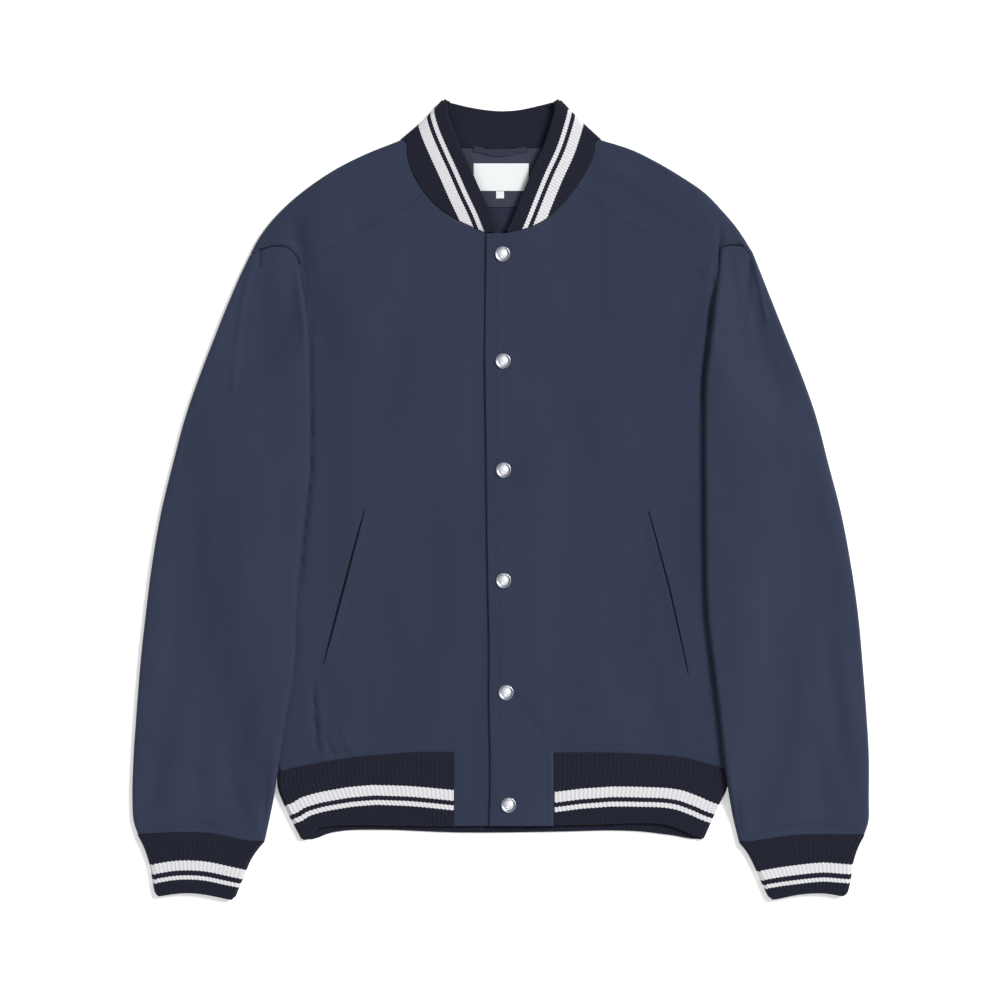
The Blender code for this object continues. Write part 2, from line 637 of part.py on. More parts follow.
def make_cuff(name, side, table):
    """A ribbed tube, flattened, its underside plain and flat."""
    width = abs(table[0][0] - table[0][2])
    ribs = rib_count(width - THICK, CUFF_PITCH)
    rows = []
    for outer_x, outer_y, inner_x, inner_y in table:
        outer, inner = abs(outer_x), abs(inner_x)
        radius = THICK / 2.0
        tops = []
        for index, share in enumerate(shares(ribs)):
            reach = mix(inner + radius, outer - radius, share)
            y = mix(inner_y, outer_y, share)
            tops.append(upper(side * reach, y, THICK, RIB, RIB_RELIEF * (index % 2)))
        bottoms = []
        for share in shares(4):
            reach = mix(inner + radius, outer - radius, share)
            bottoms.append(lower(side * reach, mix(inner_y, outer_y, share), 0.0, RIB))
        inner_fold = rib_fold(side * inner, inner_y, inner_y, 0.0, THICK, -side)
        outer_fold = rib_fold(side * outer, outer_y, outer_y, 0.0, THICK, side)
        rows.append(tops + outer_fold + bottoms[::-1] + inner_fold[::-1])
    return wall(name, rows, RIB_COLOUR, ring=True)


# ---------------------------------------------------------------- hem rib and collar

RIB_FOLD = ((112.0, 1), (134.0, 0), (156.0, 1), (180.0, 0), (225.0, 0))      # angle, whether a rib stands


def rib_fold(x, upper_y, lower_y, bottom, top, side):
    """Stations of a ribbed band on one of its side folds."""
    return [turned(x, upper_y, lower_y, bottom, top, side, angle, RIB, RIB_RELIEF * rib)
            for angle, rib in RIB_FOLD]


def rib_count(length, pitch):
    """Stations along a band: two a rib."""
    return 2 * round(length / pitch)


def make_hem():
    """One band from the right front's placket round the back to the left front's."""
    radius = THICK / 2.0
    front_ribs = rib_count(placket_x(-1) - HEM_SIDES[0][0], HEM_PITCH)
    back_ribs = rib_count(HEM_SIDES[0][3] - HEM_SIDES[0][0], HEM_PITCH)
    rows = []
    for level, (right_x, right_upper, right_lower, left_x, left_upper, left_lower) in enumerate(HEM_SIDES):
        halves = []
        for side, x, upper_y, lower_y in ((-1, right_x, right_upper, right_lower),
                                          (1, left_x, left_upper, left_lower)):
            seam_line = hem_line(side)
            end = placket_x(side) + side * SEAM
            front = []
            for index, share in enumerate(shares(front_ribs)):
                px = mix(x - side * radius, end, share)
                seam = height_at(seam_line, px) - EDGE_GAP
                py = mix(seam, height_at(HEM_FRONT_EDGE, px), level / 2.0)
                if level > 0:
                    py = mix(upper_y, py, smoothstep(share * 12.0))
                front.append(upper(px, py, THICK, RIB, RIB_RELIEF * (index % 2)))
            halves.append(front[::-1] + rib_fold(x, upper_y, lower_y, 0.0, THICK, side))
        back = []
        for index, share in enumerate(shares(back_ribs)):
            px = mix(right_x + radius, left_x - radius, share)
            seam = height_at(lower_line(0), px) - EDGE_GAP
            py = mix(seam, height_at(HEM_BACK_EDGE, px), level / 2.0)
            near = smoothstep(min(share, 1.0 - share) * 16.0)
            py = mix(right_lower if share < 0.5 else left_lower, py, near)
            back.append(lower(px, py, 0.0, RIB, RIB_RELIEF * (index % 2)))
        rows.append(halves[0] + back + halves[1][::-1])
    return wall("hem_rib", rows, RIB_COLOUR)


def back_neck(x):
    """The back neck seam, the back panel's last row."""
    return height_at(lower_line(-1), x)


def collar_front(side, level, x, y, radius, top_z):
    """One row of a collar front, from the side fold to the centre front."""
    edge = COLLAR_EDGE_RIGHT if side < 0 else COLLAR_EDGE_LEFT
    first = COLLAR_SIDES[0]
    seam_x, seam_y = first[0:2] if side < 0 else first[2:4]
    seam = ((seam_x - side * (first[4] - first[5]) / 2.0, seam_y),) + neck_seam(side)
    start = (x - side * radius, y)
    ribs = rib_count(length_of(edge), COLLAR_PITCH)
    row = []
    for index, share in enumerate(shares(ribs)):
        on_seam = along(seam, share ** 1.15)
        on_edge = along(edge, share)
        px = mix(on_seam[0], on_edge[0], level / 2.0)
        py = mix(on_seam[1], on_edge[1], level / 2.0)
        if level > 0:
            near = smoothstep(share * 10.0)
            px, py = mix(start[0], px, near), mix(start[1], py, near)
        rise = lap_rise(px) if side > 0 else 0.0
        z = top_z - COLLAR_END_DROP[level] * share + rise * smoothstep(share * 2.0 - 1.0)
        row.append(upper(px, py, z, RIB, RIB_RELIEF * (index % 2)))
    return row


def make_collar():
    """One band from the right centre front, round the back neck, to the left centre front."""
    rows = []
    for level, (right_x, right_y, left_x, left_y, top_z, bottom_z) in enumerate(COLLAR_SIDES):
        radius = (top_z - bottom_z) / 2.0
        halves = []
        for side, x, y in ((-1, right_x, right_y), (1, left_x, left_y)):
            fold = rib_fold(x, y, y, bottom_z, top_z, side)
            halves.append(collar_front(side, level, x, y, radius, top_z)[::-1] + fold)
        back = []
        for index, share in enumerate(shares(rib_count(length_of(COLLAR_EDGE_BACK), COLLAR_PITCH))):
            px = mix(right_x + radius, left_x - radius, share)
            py = mix(back_neck(px) + EDGE_GAP, height_at(COLLAR_EDGE_BACK, px), level / 2.0)
            near = smoothstep(min(share, 1.0 - share) * 8.0)
            py = mix(right_y if share < 0.5 else left_y, py, near if level > 0 else 1.0)
            back.append(lower(px, py, bottom_z, RIB, RIB_RELIEF * (index % 2)))
        rows.append(halves[0] + back + halves[1][::-1])
    return wall("collar", rows, RIB_COLOUR)


# ---------------------------------------------------------------- inside the neck, pockets, snaps

def make_neck_facing():
    rows = []
    for level in shares(3):
        row = []
        for share in shares(8):
            x = mix(-78.0, 78.0, share)
            low = 293.0 + 20.0 * (x / 78.0) ** 2
            y = mix(low, back_neck(x) - SEAM - 0.2, level)
            row.append(lower(x, y, CLOTH + SEAM, TAPE_THICK))
        rows.append(row)
    return wall("neck_facing", rows, CLOTH_COLOUR)


def make_lining():
    rows = []
    for level in shares(2):
        row = []
        for share in shares(8):
            x = mix(-66.0, 66.0, share)
            high = 293.0 + 20.0 * (x / 78.0) ** 2 - 2.0 * SEAM
            row.append(lower(x, mix(232.0, high, level), CLOTH + SEAM, TAPE_THICK))
        rows.append(row)
    return wall("lining", rows, LINING_COLOUR, roughness=0.5)


def make_patch(name, box):
    """A small flat label on the neck facing."""
    x0, x1, y0, y1 = box
    base = CLOTH + 2.0 * SEAM + TAPE_THICK
    rows = [[lower(x, y, base, LABEL_THICK) for x in (x0, x1)] for y in (y0, y1)]
    return wall(name, rows, LABEL_COLOUR, roughness=0.6)


def dropped_on(part):
    """Height in millimetres of a part's upper side, as a function of a place in plan."""
    mesh = bmesh.new()
    mesh.from_mesh(part.data)
    tree = BVHTree.FromBMesh(mesh)
    mesh.free()

    def height(x, y):
        hit = tree.ray_cast(Vector((x * MM, y * MM, 0.1)), Vector((0.0, 0.0, -1.0)))
        return hit[0].z / MM

    return height


def densify(path, count):
    return [along(path, share) for share in shares(count)]


def make_snap(name, x, y, height):
    """A turned press-stud cap: a rim round a low dome."""
    mesh = bmesh.new()
    loops = []
    base = height(x, y) + SEAM
    for radius, z in SNAP_PROFILE:
        loop = []
        for index in range(SNAP_SIDES):
            turn = 2.0 * math.pi * index / SNAP_SIDES
            place = Vector((x + radius * math.cos(turn), y + radius * math.sin(turn), base + z))
            loop.append(mesh.verts.new(place * MM))
        loops.append(loop)
    for below, above in zip(loops, loops[1:]):
        for index in range(SNAP_SIDES):
            after = (index + 1) % SNAP_SIDES
            mesh.faces.new((below[index], below[after], above[after], above[index]))
    mesh.faces.new(loops[0])
    mesh.faces.new(loops[-1])
    return add_object(name, mesh, METAL_COLOUR, 0.3, 0.9)


def centre_all():
    """Bring the middle of the whole plan over the origin."""
    low, high = [1e9, 1e9], [-1e9, -1e9]
    for part in bpy.data.objects:
        for vert in part.data.vertices:
            for axis in (0, 1):
                low[axis] = min(low[axis], vert.co[axis])
                high[axis] = max(high[axis], vert.co[axis])
    shift = Vector((-(low[0] + high[0]) / 2.0, -(low[1] + high[1]) / 2.0, 0.0))
    for part in bpy.data.objects:
        for vert in part.data.vertices:
            vert.co += shift


def build():
    for old in list(bpy.data.objects):
        bpy.data.objects.remove(old, do_unlink=True)
    make_back()
    front_right = make_front("front_right", -1)
    front_left = make_front("front_left", 1)
    make_sleeve("sleeve_right", -1, SLEEVE_RIGHT_ROWS)
    make_sleeve("sleeve_left", 1, SLEEVE_LEFT_ROWS)
    make_cuff("cuff_right", -1, CUFF_RIGHT_ROWS)
    make_cuff("cuff_left", 1, CUFF_LEFT_ROWS)
    make_hem()
    make_collar()
    make_neck_facing()
    make_lining()
    make_patch("label", LABEL)
    make_patch("size_tab", SIZE_TAB)
    strip("hanging_loop", LOOP_PATH, LOOP_WIDTH, TAPE_THICK,
          lambda x, y: CLOTH + SEAM + TAPE_THICK, CLOTH_COLOUR)
    right_height, left_height = dropped_on(front_right), dropped_on(front_left)
    strip("pocket_welt_right", densify(POCKET_RIGHT, 8)[::-1], WELT_WIDTH, WELT_THICK, right_height,
          CLOTH_COLOUR)
    strip("pocket_welt_left", densify(POCKET_LEFT, 8), WELT_WIDTH, WELT_THICK, left_height, CLOTH_COLOUR)
    for index, (x, y) in enumerate(SNAPS):
        make_snap(f"snap_{index + 1}", x, y, left_height)
    centre_all()


build()
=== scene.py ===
"""Looks of the varsity jacket, laid flat on its back: cloth, rib knit, seams, studs and bare labels.

The tables are millimetres in the jacket's own plan: x towards the wearer's left, y towards the collar. A wall
is a grid of stations, each an outer and an inner point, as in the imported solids. It is drawn finer here, and
the creases, ribs, rolled edges and stitches are worked into it.
"""
import math

import bmesh
import bpy
import numpy as np
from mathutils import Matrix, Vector, noise
from mathutils.bvhtree import BVHTree


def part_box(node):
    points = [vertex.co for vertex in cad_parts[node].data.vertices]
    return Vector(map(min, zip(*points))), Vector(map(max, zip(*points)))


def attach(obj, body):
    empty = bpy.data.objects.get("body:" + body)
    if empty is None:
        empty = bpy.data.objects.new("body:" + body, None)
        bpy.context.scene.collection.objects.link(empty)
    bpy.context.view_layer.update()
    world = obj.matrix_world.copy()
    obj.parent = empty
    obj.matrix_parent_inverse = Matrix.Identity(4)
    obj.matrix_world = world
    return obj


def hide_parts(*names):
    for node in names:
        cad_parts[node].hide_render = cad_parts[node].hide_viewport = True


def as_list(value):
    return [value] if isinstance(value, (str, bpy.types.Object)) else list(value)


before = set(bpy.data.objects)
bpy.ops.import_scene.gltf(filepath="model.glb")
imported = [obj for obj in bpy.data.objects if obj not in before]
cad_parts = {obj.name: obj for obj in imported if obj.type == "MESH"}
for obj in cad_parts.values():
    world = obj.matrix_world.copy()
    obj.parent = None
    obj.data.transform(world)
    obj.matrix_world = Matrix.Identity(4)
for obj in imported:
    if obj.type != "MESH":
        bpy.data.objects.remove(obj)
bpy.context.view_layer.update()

MM = 0.001
SIDES = {-1: "right", 1: "left"}  # the wearer's sides by the sign of x

# ---------------------------------------------------------------- sizes of the solids, in millimetres

CLOTH = 2.8
RIB = 3.4
LOFT = 3.6
THICK = 2 * CLOTH + LOFT
SEAM = 0.3
EDGE_GAP = 0.15  # between the edges of two pieces that meet at a seam
RADIUS = THICK / 2
# How far the open sides of the body reach under the sleeves' folds: at the armholes' top, and at their
# foot in the fronts and in the back. It changes between the two values of TUCK_Y.
TUCK = 3.4
TUCK_FRONT = 8
TUCK_BACK = 13
TUCK_Y = (140, 228)

# Pitch and height of the raised ribs.
HEM_PITCH = 4.4
CUFF_PITCH = 4.2
COLLAR_PITCH = 3
RIB_RELIEF = 0.65
COLLAR_RELIEF = 0.5

PLACKET_X = {-1: -46.5, 1: 53.5}  # where the hem rib ends at a front
UNDERLAP_X = 19  # the right front's free edge, under the left front
# The left front's free edge, y and x.
OPENING = ((266, -14.3), (223, -15), (143, -15.8), (31, -14.4), (-80, -13), (-129, -11.6),
           (-167, -11.3), (-193, -12), (-270, -9.9), (-326, -11.4))
# At the placket the left front rises over the right one, which sinks: from and to, and by how much.
RISE_X = (23, 62)
RISE = 1.7
SINK_X = (-46, -16)
SINK = 1.4
FRONT_BOTTOM_Y = -326
NECK_FRONT_Y = 266.8

# A sleeve lies over the body's side by LIFT, which sets in between the two values of LIFT_ONSET_Y. It starts
# to come down LIFT_MARGIN beyond the body's edge, over LIFT_RUN. Its upper layer starts SOFT_START sooner and
# takes SOFT_RUN longer.
LIFT = THICK + 0.6
LIFT_MARGIN = 2.5
LIFT_RUN = 28
# Least distances of a sleeve's rise from its inner fold, and of its top and its foot from its outer fold.
RISE_ROOM = 3
TOP_ROOM = 24
FOOT_ROOM = 8
LIFT_ONSET_Y = (240, 188)
SOFT_START = 10
SOFT_RUN = 30
SOFT_EDGE = 9  # it meets the lower layer's height within this of both folds

# The rows of the body run from the hem's seam up its sides, those of the shoulder from near the armholes'
# tops to the neck. Each has its two side folds and the height of its middle in plan. round says how rounded
# the side edges are: 0 is flat, as where a sleeve is sewn on.
BODY_ROWS = (
    # right_x, right_y, middle_y, left_x, left_y, round
    (-222.5, -271, -258, 227.8, -270, 1),
    (-236, -220, -218, 240, -220, 1),
    (-250, -150, -150, 253, -150, 1),
    (-259, -60, -60, 262, -60, 1),
    (-266, 20, 20, 268, 20, 1),
    (-268, 68, 68, 270, 68, 1),
    (-250, 92, 92, 254, 92, 0.6),
    (-222, 122, 122, 232, 122, 0),
    (-191, 162, 162, 209, 162, 0),
    (-194.5, 196, 196, 213.5, 198, 0),
    (-199, 225, 222, 217.5, 228, 0),
)
SHOULDER_ROWS = (
    # right_x, right_y, middle_y, left_x, left_y, right_flap_x, right_flap_y, left_flap_x, left_flap_y
    (-203, 240, 236, 218.2, 240, None, None, None, None),
    (-226.5, 243.4, 245, 236, 243, None, None, None, None),
    (-250, 246.9, 256, 253.4, 246, -201.2, 236, 216.5, 221),
    (-240.5, 264, 270, 237.5, 271, -156, 262, 193.5, 232.5),
    (-227.5, 281, 284, 221.5, 290, -128, 277, 153, 264),
    (-209.5, 299, 300, 203.8, 308, -100, 292, 114.5, 285),
    (-189.5, 315, 314, 183.5, 322, -76.9, 308, 75.9, 313),
    (-163.5, 332, 328, 158.5, 337, -87.9, 326, 86.9, 330),
    (-135.5, 346, 340, 132.5, 350, -93.9, 346, 93.9, 346.5),
    (-101.5, 359.5, 351.5, 101.5, 360, -94, 356.5, 94.9, 357),
)
TIP_ROW = 2  # the row at the armholes' tops
NECK_ROW = 6  # the row where the forward seams meet the collar
# Seams in plan: the armholes, from the shoulder's fold inwards, and the neck, from the back to the front.
ARMHOLE_RIGHT = ((-241.5, 250.4), (-227.5, 254), (-213.5, 252.6), (-203, 243.6), (-201.2, 236))
ARMHOLE_LEFT = ((243.5, 254.2), (234.5, 255.2), (226.5, 254.8), (219, 252.9), (216.5, 221))
NECK_RIGHT = ((-93.6, 356.5), (-93.5, 346), (-87.5, 326), (-76.5, 308), (-61.5, 292), (-46.5, 282),
              (-25.5, 272), (-15.5, 267.6))
NECK_LEFT = ((94.5, 357), (93.5, 346.5), (86.5, 330), (75.5, 313), (60.5, 294.5), (46.5, 282),
             (21.5, 270.5), (6.5, 268))

# Sleeves: outer and inner fold, row by row from the armhole to the cuff, and the inner fold at the armhole.
SLEEVE_HEAD_INNER = {-1: 203.6, 1: 219.6}
SLEEVE_ROWS = {-1: (
    # outer_x, outer_y, inner_x, inner_y
    (-260.5, 225, -199.6, 225),
    (-272.5, 197, -195, 196),
    (-286.5, 162, -191.5, 161),
    (-300.5, 126, -190.5, 122),
    (-314.5, 86, -190.5, 82),
    (-327, 40, -190.5, 34),
    (-339.5, -11, -195, -12),
    (-348.5, -62, -201, -62),
    (-355, -113, -204, -113),
    (-360.5, -164, -205.5, -164),
    (-364.5, -215, -213.4, -212),
    (-367.5, -260, -220.5, -257),
    (-368.5, -299, -226.4, -297),
    (-367.4, -320.5, -231.2, -320),
    (-363.2, -334, -235.7, -340.7),
), 1: (
    (261, 226, 217.9, 228),
    (272.5, 197, 213.9, 198),
    (286.5, 162, 209.5, 161),
    (301, 126, 205, 122),
    (315.5, 85, 204, 82),
    (328, 37, 204, 34),
    (340.5, -11, 204.3, -14),
    (350, -60, 204.8, -62),
    (357.8, -113, 206.4, -113),
    (362.5, -164, 212.3, -164),
    (366.3, -214, 218.3, -213),
    (368.8, -258, 223, -257),
    (368.7, -299, 228.8, -298),
    (368.5, -320.5, 233.1, -320),
    (364.4, -334.5, 238.5, -341.7),
)}
CUFF_ROWS = {-1: (
    # outer_x, outer_y, inner_x, inner_y
    (-363.1, -334.3, -235.8, -341),
    (-357, -346, -243.5, -350),
    (-352.3, -359, -250.5, -361),
    (-349.7, -369.7, -256, -374.5),
    (-347.6, -383, -260.8, -386.5),
    (-345.3, -396.8, -265.5, -400.2),
), 1: (
    (364.4, -334.8, 238.6, -342),
    (358.2, -346.5, 246, -351),
    (353.6, -359.5, 252, -361.5),
    (351.9, -369.4, 258.5, -376),
    (350, -383, 263.3, -388),
    (347, -396.5, 268.3, -399.8),
)}
CUFF_STRIPE_ROW = 3  # the row that the middle of the wide stripe follows
# How far a cuff bows towards the sleeve, by the share of its width from the inner to the outer fold.
CUFF_BOW = {-1: (
    # share, at_seam, at_stripe, at_edge
    (0, 0, 0, 0),
    (0.1, -1, 1.3, 0.35),
    (0.2, 0, 2.9, 1.85),
    (0.3, 2.5, 4.6, 3.1),
    (0.4, 4.6, 5.9, 4.2),
    (0.5, 4.9, 6.4, 4.8),
    (0.6, 4.4, 6.25, 4.75),
    (0.7, 3.7, 5.6, 4.1),
    (0.8, 2.6, 4.2, 2.9),
    (0.9, 1.3, 2.1, 1.1),
    (1, 0, 0, 0),
), 1: (
    (0, 0, 0, 0),
    (0.1, -0.3, 1.1, 0.1),
    (0.2, 1, 2.1, 1.4),
    (0.3, 2.3, 2.8, 2.7),
    (0.4, 3.3, 3.35, 3.8),
    (0.5, 3.5, 3.8, 4.2),
    (0.6, 3.1, 4.1, 4.3),
    (0.7, 2.3, 3.95, 3.8),
    (0.8, 1.5, 2.7, 2.6),
    (0.9, 0.7, 1.2, 0.7),
    (1, 0, 0, 0),
)}
# A band's rows bend to its side folds within one over this of their length.
HEM_FRONT_BEND = 12
HEM_BACK_BEND = 16
COLLAR_BEND = 18
# The hem rib's two side folds, row by row down its depth, and its seam and edges in plan.
HEM_SIDES = (
    # share of the rib's depth, right_x, right_upper_y, right_lower_y, left_x, left_upper_y, left_lower_y
    (0, -222.9, -271.1, -271.1, 227.9, -270.1, -270.1),
    (0.2, -223, -285.5, -286, 227, -285, -286),
    (0.5, -216, -304.5, -305.5, 218, -304, -305.5),
    (1, -199, -335.5, -340, 203, -336.5, -339.5),
)
HEM_SEAM = ((-222.5, -271), (-181.5, -263), (-147.5, -257.6), (-121.5, -255), (-86.5, -252.4),
            (-46.5, -252.2), (53.5, -252.7), (115.5, -253), (148.5, -254.5), (173.5, -256.5),
            (190.5, -259.5), (227.8, -270))
HEM_FRONT_EDGE = ((-197.5, -335), (-190, -331), (-173, -326.5), (-147.5, -325), (-112.5, -325.6),
                  (-46.5, -326.2), (53.5, -325.2), (99.5, -324.6), (140.5, -323.2), (165.5, -325),
                  (181.5, -330.5), (201, -338))
HEM_BACK_EDGE = ((-197.5, -340), (-178.5, -335), (-155.5, -331), (-130.5, -330.2), (-43.5, -333),
                 (65.5, -332), (115.5, -331), (140.5, -332), (165.5, -335), (201, -339.5))
# The collar's free edges: the two fronts and the back, then its side folds row by row.
COLLAR_EDGE_RIGHT = ((-55.5, 396), (-50, 377), (-41.6, 357), (-32.4, 337), (-21.8, 313),
                     (-11, 290), (-3, 269))
COLLAR_EDGE_LEFT = ((56.2, 397), (50.8, 377), (43.8, 356), (33.4, 333.5), (24.9, 313), (16.3, 291),
                    (7.9, 269.6))
COLLAR_EDGE_BACK = ((-54, 398.4), (-34.5, 393.6), (-13.5, 390), (2, 389), (17.5, 390),
                    (35.5, 393.6), (55, 398.4))
COLLAR_SIDES = (
    # right_x, right_y, left_x, left_y, front_top_z, back_bottom_z
    (-100.6, 359.7, 100.8, 360.2, 9.8, 0),
    (-76.5, 380.5, 79, 380.5, 13.2, 0.6),
    (-57.8, 400.4, 59.8, 400.4, 16, 2.4),
)
COLLAR_END_DROP = (0, 1.4, 2.8)  # how far each row falls from the side fold to the centre front
COLLAR_CROWDING = 1.15  # stations lie closer near the neck corner
COLLAR_TIP_DROP = 2.2  # how far the collar's edge falls in plan from its side tips to its front

# Boxes in plan: x from and to, y from and to.
LABEL = (-27, 28.2, 309.3, 336.9)
SIZE_TAB = (-4.5, 3.5, 301.8, 309)
LABEL_THICK = 0.5
TAPE_THICK = 1
LOOP_PATH = ((-26.2, 354), (-18, 352.6), (-9.9, 349.9), (-2, 349.2), (5.4, 349.6), (15.6, 352),
             (25.8, 354))
LOOP_WIDTH = 5.4
# The pockets' mouths. Each welt lies to the right of its path.
POCKET_RIGHT = ((-176.5, -164), (-155.2, -85), (-135.5, -10))
POCKET_LEFT = ((147.5, -11), (168.3, -90), (187.5, -174))
WELT_WIDTH = 9
# Centres of the press studs, from the top.
SNAPS = ((2, 246), (2.5, 139), (3, 30), (3, -80.5), (5.5, -192.5), (8, -305))

# How the tables are drawn.
PER = 4  # curved steps between two rows of a table
TIP = TIP_ROW * PER
NECK = NECK_ROW * PER
NECK_CORNER = 3 * PER  # the neck seam's step at the end of the forward seam
ARMHOLE_CORNER = 3  # the row where an armhole turns sharply
ARCH_END = 2 * PER + 1  # steps of an armhole that belong to its arch
BULGE_ROWS = 8  # how many rows above the armhole still follow its arch
LAST_ROW_GAP = 4  # a front leaves out the rows this near to the start of its forward seam
LOWER_STEPS = 20  # steps across the lower layer of the back
PLACKET_STEPS = 14
THIRD, TWO_THIRDS = 0.33, 0.67
SLEEVE_STEPS = 5  # in each gap of a sleeve's plan
CUFF_STATIONS = 25
HEM_FRONT_STEPS = 48
HEM_BACK_STEPS = 60
COLLAR_STEPS = 40  # across each front and across the back
POCKET_STEPS = 40
# Spacing of the drawn grids, down a column and along a row. A rib gets RIB_COLUMNS columns.
BACK_GRID = (2.9, 2.5)
FRONT_GRID = (2.5, 2.5)
SLEEVE_GRID = (2.5, 2.3)
CUFF_SPACING = 3
HEM_SPACING = 4
COLLAR_SPACING = 2.6
RIB_COLUMNS = 6
UNDER_SPACING = 6.5  # between the columns of an underside that rests
CLOSE = (0.5, 1.1, 1.9)  # extra lines of a grid close to its edges
NO_STRIPE = -1000.0  # a distance from the stripes at which a piece shows none
FOLD = {-1: slice(0, 2), 1: slice(3, 5)}  # a side's fold in a row of the body or the shoulder
FLAP = {-1: slice(5, 7), 1: slice(7, 9)}  # the end of its flap in a row of the shoulder
HEM_FOLD = {-1: slice(1, 3), 1: slice(4, 6)}  # its fold in a row of the hem
# Angles of the stations round a fold: on the back, on an open edge, and on sleeves and ribs.
FOLD_ANGLES = (90, 105, 120, 135, 150, 165, 178)
EDGE_ANGLES = (2, 15, 30, 45, 60, 75)
AROUND = (105, 120, 135, 150, 165, 180, 200, 225, 250)
FLAP_SHARES = np.interp(np.arange(4 * PER + 1) / PER, range(5), (0.14, 0.3, 0.5, 0.75, 1))

# How far each edge sinks at a seam, and over which distance.
ARMHOLE_ROLL = 1.5
ARMHOLE_ROLL_REACH = 2.4
FLAT_SEAM_ROLL = 0.25
SEAM_ROLL = 0.7
SLEEVE_END_ROLL = 0.35
BAND_ROLL = 0.55
OPENING_ROLL = 1.2
ROLL_REACH = 1.6
HEM_ROLL_REACH = 1.8
FLAT_SEAM_REACH = 1.2
HEM_END_ROLL = 1
ARCH_GAP = 0.5  # how much wider the ditch of the seam is over a sleeve's head
ARCH_GAP_RUN = 7  # and how far from the outer fold it widens

# Inside the neck, in plan: half widths, and the lower edges at the centre.
FACING_HALF = 78
FACING_LOW_Y = 293
FACING_RISE = 20  # how much the facing's lower edge rises at its sides
FACING_GAP = 0.2
LINING_HALF = 66
LINING_LOW_Y = 232
LOOP_CROWN = 0.4

MOUTH_WIDTH = 1.9  # width of the strip of painted shade in a pocket's mouth, at its middle
MOUTH_END = 0.7  # and at its ends
MOUTH_TOP = 0.16  # height of the painted shade strip over the front
WELT_SINK = 0.05  # height of its underside and of a welt's
WELT_EDGE = 0.1  # thickness of a welt's sewn edge
WELT_SWELL = 0.9  # how much thicker its folded edge is
WELT_END = 6  # steps over which that fades towards the welt's two ends
STUD_SIDES = 48
STUD_PROFILE = (
    # radius, height
    (7.55, 0), (7.78, 0.5), (7.75, 0.95), (7.45, 1.3), (6.95, 1.42), (6.3, 1.25), (5.5, 0.95), (4.8, 0.78),
    (4.35, 0.9), (4.1, 1.3), (3.8, 1.7), (3.1, 2.1), (2, 2.4), (1, 2.53), (0.4, 2.55),
)
STUD_RIM = 7  # rings of the profile that belong to the rim
STITCH_LENGTH = 2.8
STITCH_PITCH = 3.8
STITCH_WIDTH = 0.8
STITCH_HEIGHT = 0.3
# Distance of the topstitching from its seam.
SHOULDER_STITCH = 3
NECK_STITCH = 5
HEM_STITCH = 8.5
PLACKET_STITCH = 7
PLACKET_STITCH_Y = -246  # its upper end beside the hem rib
OPENING_STITCH = 11.5
LABEL_STITCH = (1.6, 1.5)  # from the label's sides and ends
CUFF_STITCH = {-1: 5.5, 1: 7.5}

# The stage. The camera looks straight down.
FRAME_MIDDLE = (-0.5, 0)  # the picture's middle in the jacket's plan
VIEW_SPAN = 1000  # what the picture's width takes in, at the garment
LENS = 200
SENSOR = 36
FLOOR_HALF = 6
FLOOR_Z = -0.0002

# ---------------------------------------------------------------- looks

# Stripes of the ribs: distance from the band's own stripe line to each stripe's middle, and its width.
HEM_STRIPES = ((0, 10.6), (12.4, 4.8))
CUFF_STRIPES = ((0, 9.8), (12, 4))
COLLAR_STRIPES = ((15.2, 4.3), (26.6, 10.2))
# Where the wide stripe's middle lies across the hem rib, as a share from the seam to the edge.
HEM_STRIPE_LINE = ((-220, 0.57), (-190, 0.53), (-157, 0.50), (-130, 0.49), (-95, 0.524), (-46.5, 0.585),
                   (53.5, 0.617), (83, 0.571), (116, 0.543), (150, 0.548), (190, 0.537),
                   (225, 0.565))
BOW_Y = (-240, -335)  # a sleeve's rows take up the cuff's bow between these
CUFF_CORNER = 3.2  # how far a cuff's free corners are rounded off
CUFF_CORNER_REACH = 4.8
STRIPE_STEP = 0.4

# Creases: centre, direction from +X in degrees, half length, half width, height. Troughs are negative.
BODY_CREASES = (
    # x, y, angle, half_length, half_width, height
    (-185, 252, 98, 30, 8, 1.8),
    (-182, 168, 98, 72, 16, -2.6),
    (-148, 195, 100, 85, 22, 2.2),
    (-150, 40, 92, 90, 26, 0.9),
    (-105, 110, 84, 120, 24, -0.8),
    (-176, -70, 84, 120, 16, -1.2),
    (-178, -222, 98, 26, 4.4, 1.2),
    (-140, -205, 84, 70, 24, 1.7),
    (-98, -180, 74, 90, 22, -0.9),
    (-60, -150, 88, 100, 18, 0.8),
    (-60, 160, 94, 110, 18, 0.8),
    (-150, 285, 32, 60, 12, 1.1),
    (-218, 276, 46, 40, 8, 1.2),
    (-110, 325, 28, 40, 12, 1),
    (32, -222, 128, 32, 4.2, -0.8),
    (44, -214, 126, 32, 7, 0.5),
    (100, -190, 106, 90, 22, 1.5),
    (150, -200, 96, 90, 12, -1.2),
    (186, -205, 80, 60, 10, 1),
    (170, -90, 98, 110, 16, 0.8),
    (125, 20, 96, 130, 26, 1),
    (78, 40, 90, 120, 16, -0.6),
    (152, 180, 76, 90, 20, 1.3),
    (192, 205, 78, 70, 12, -1.6),
    (80, 200, 100, 80, 20, -0.8),
    (160, 300, 148, 60, 12, 1.2),
    (206, 284, 134, 34, 8, 0.9),
    (120, 326, 150, 50, 9, 1),
)
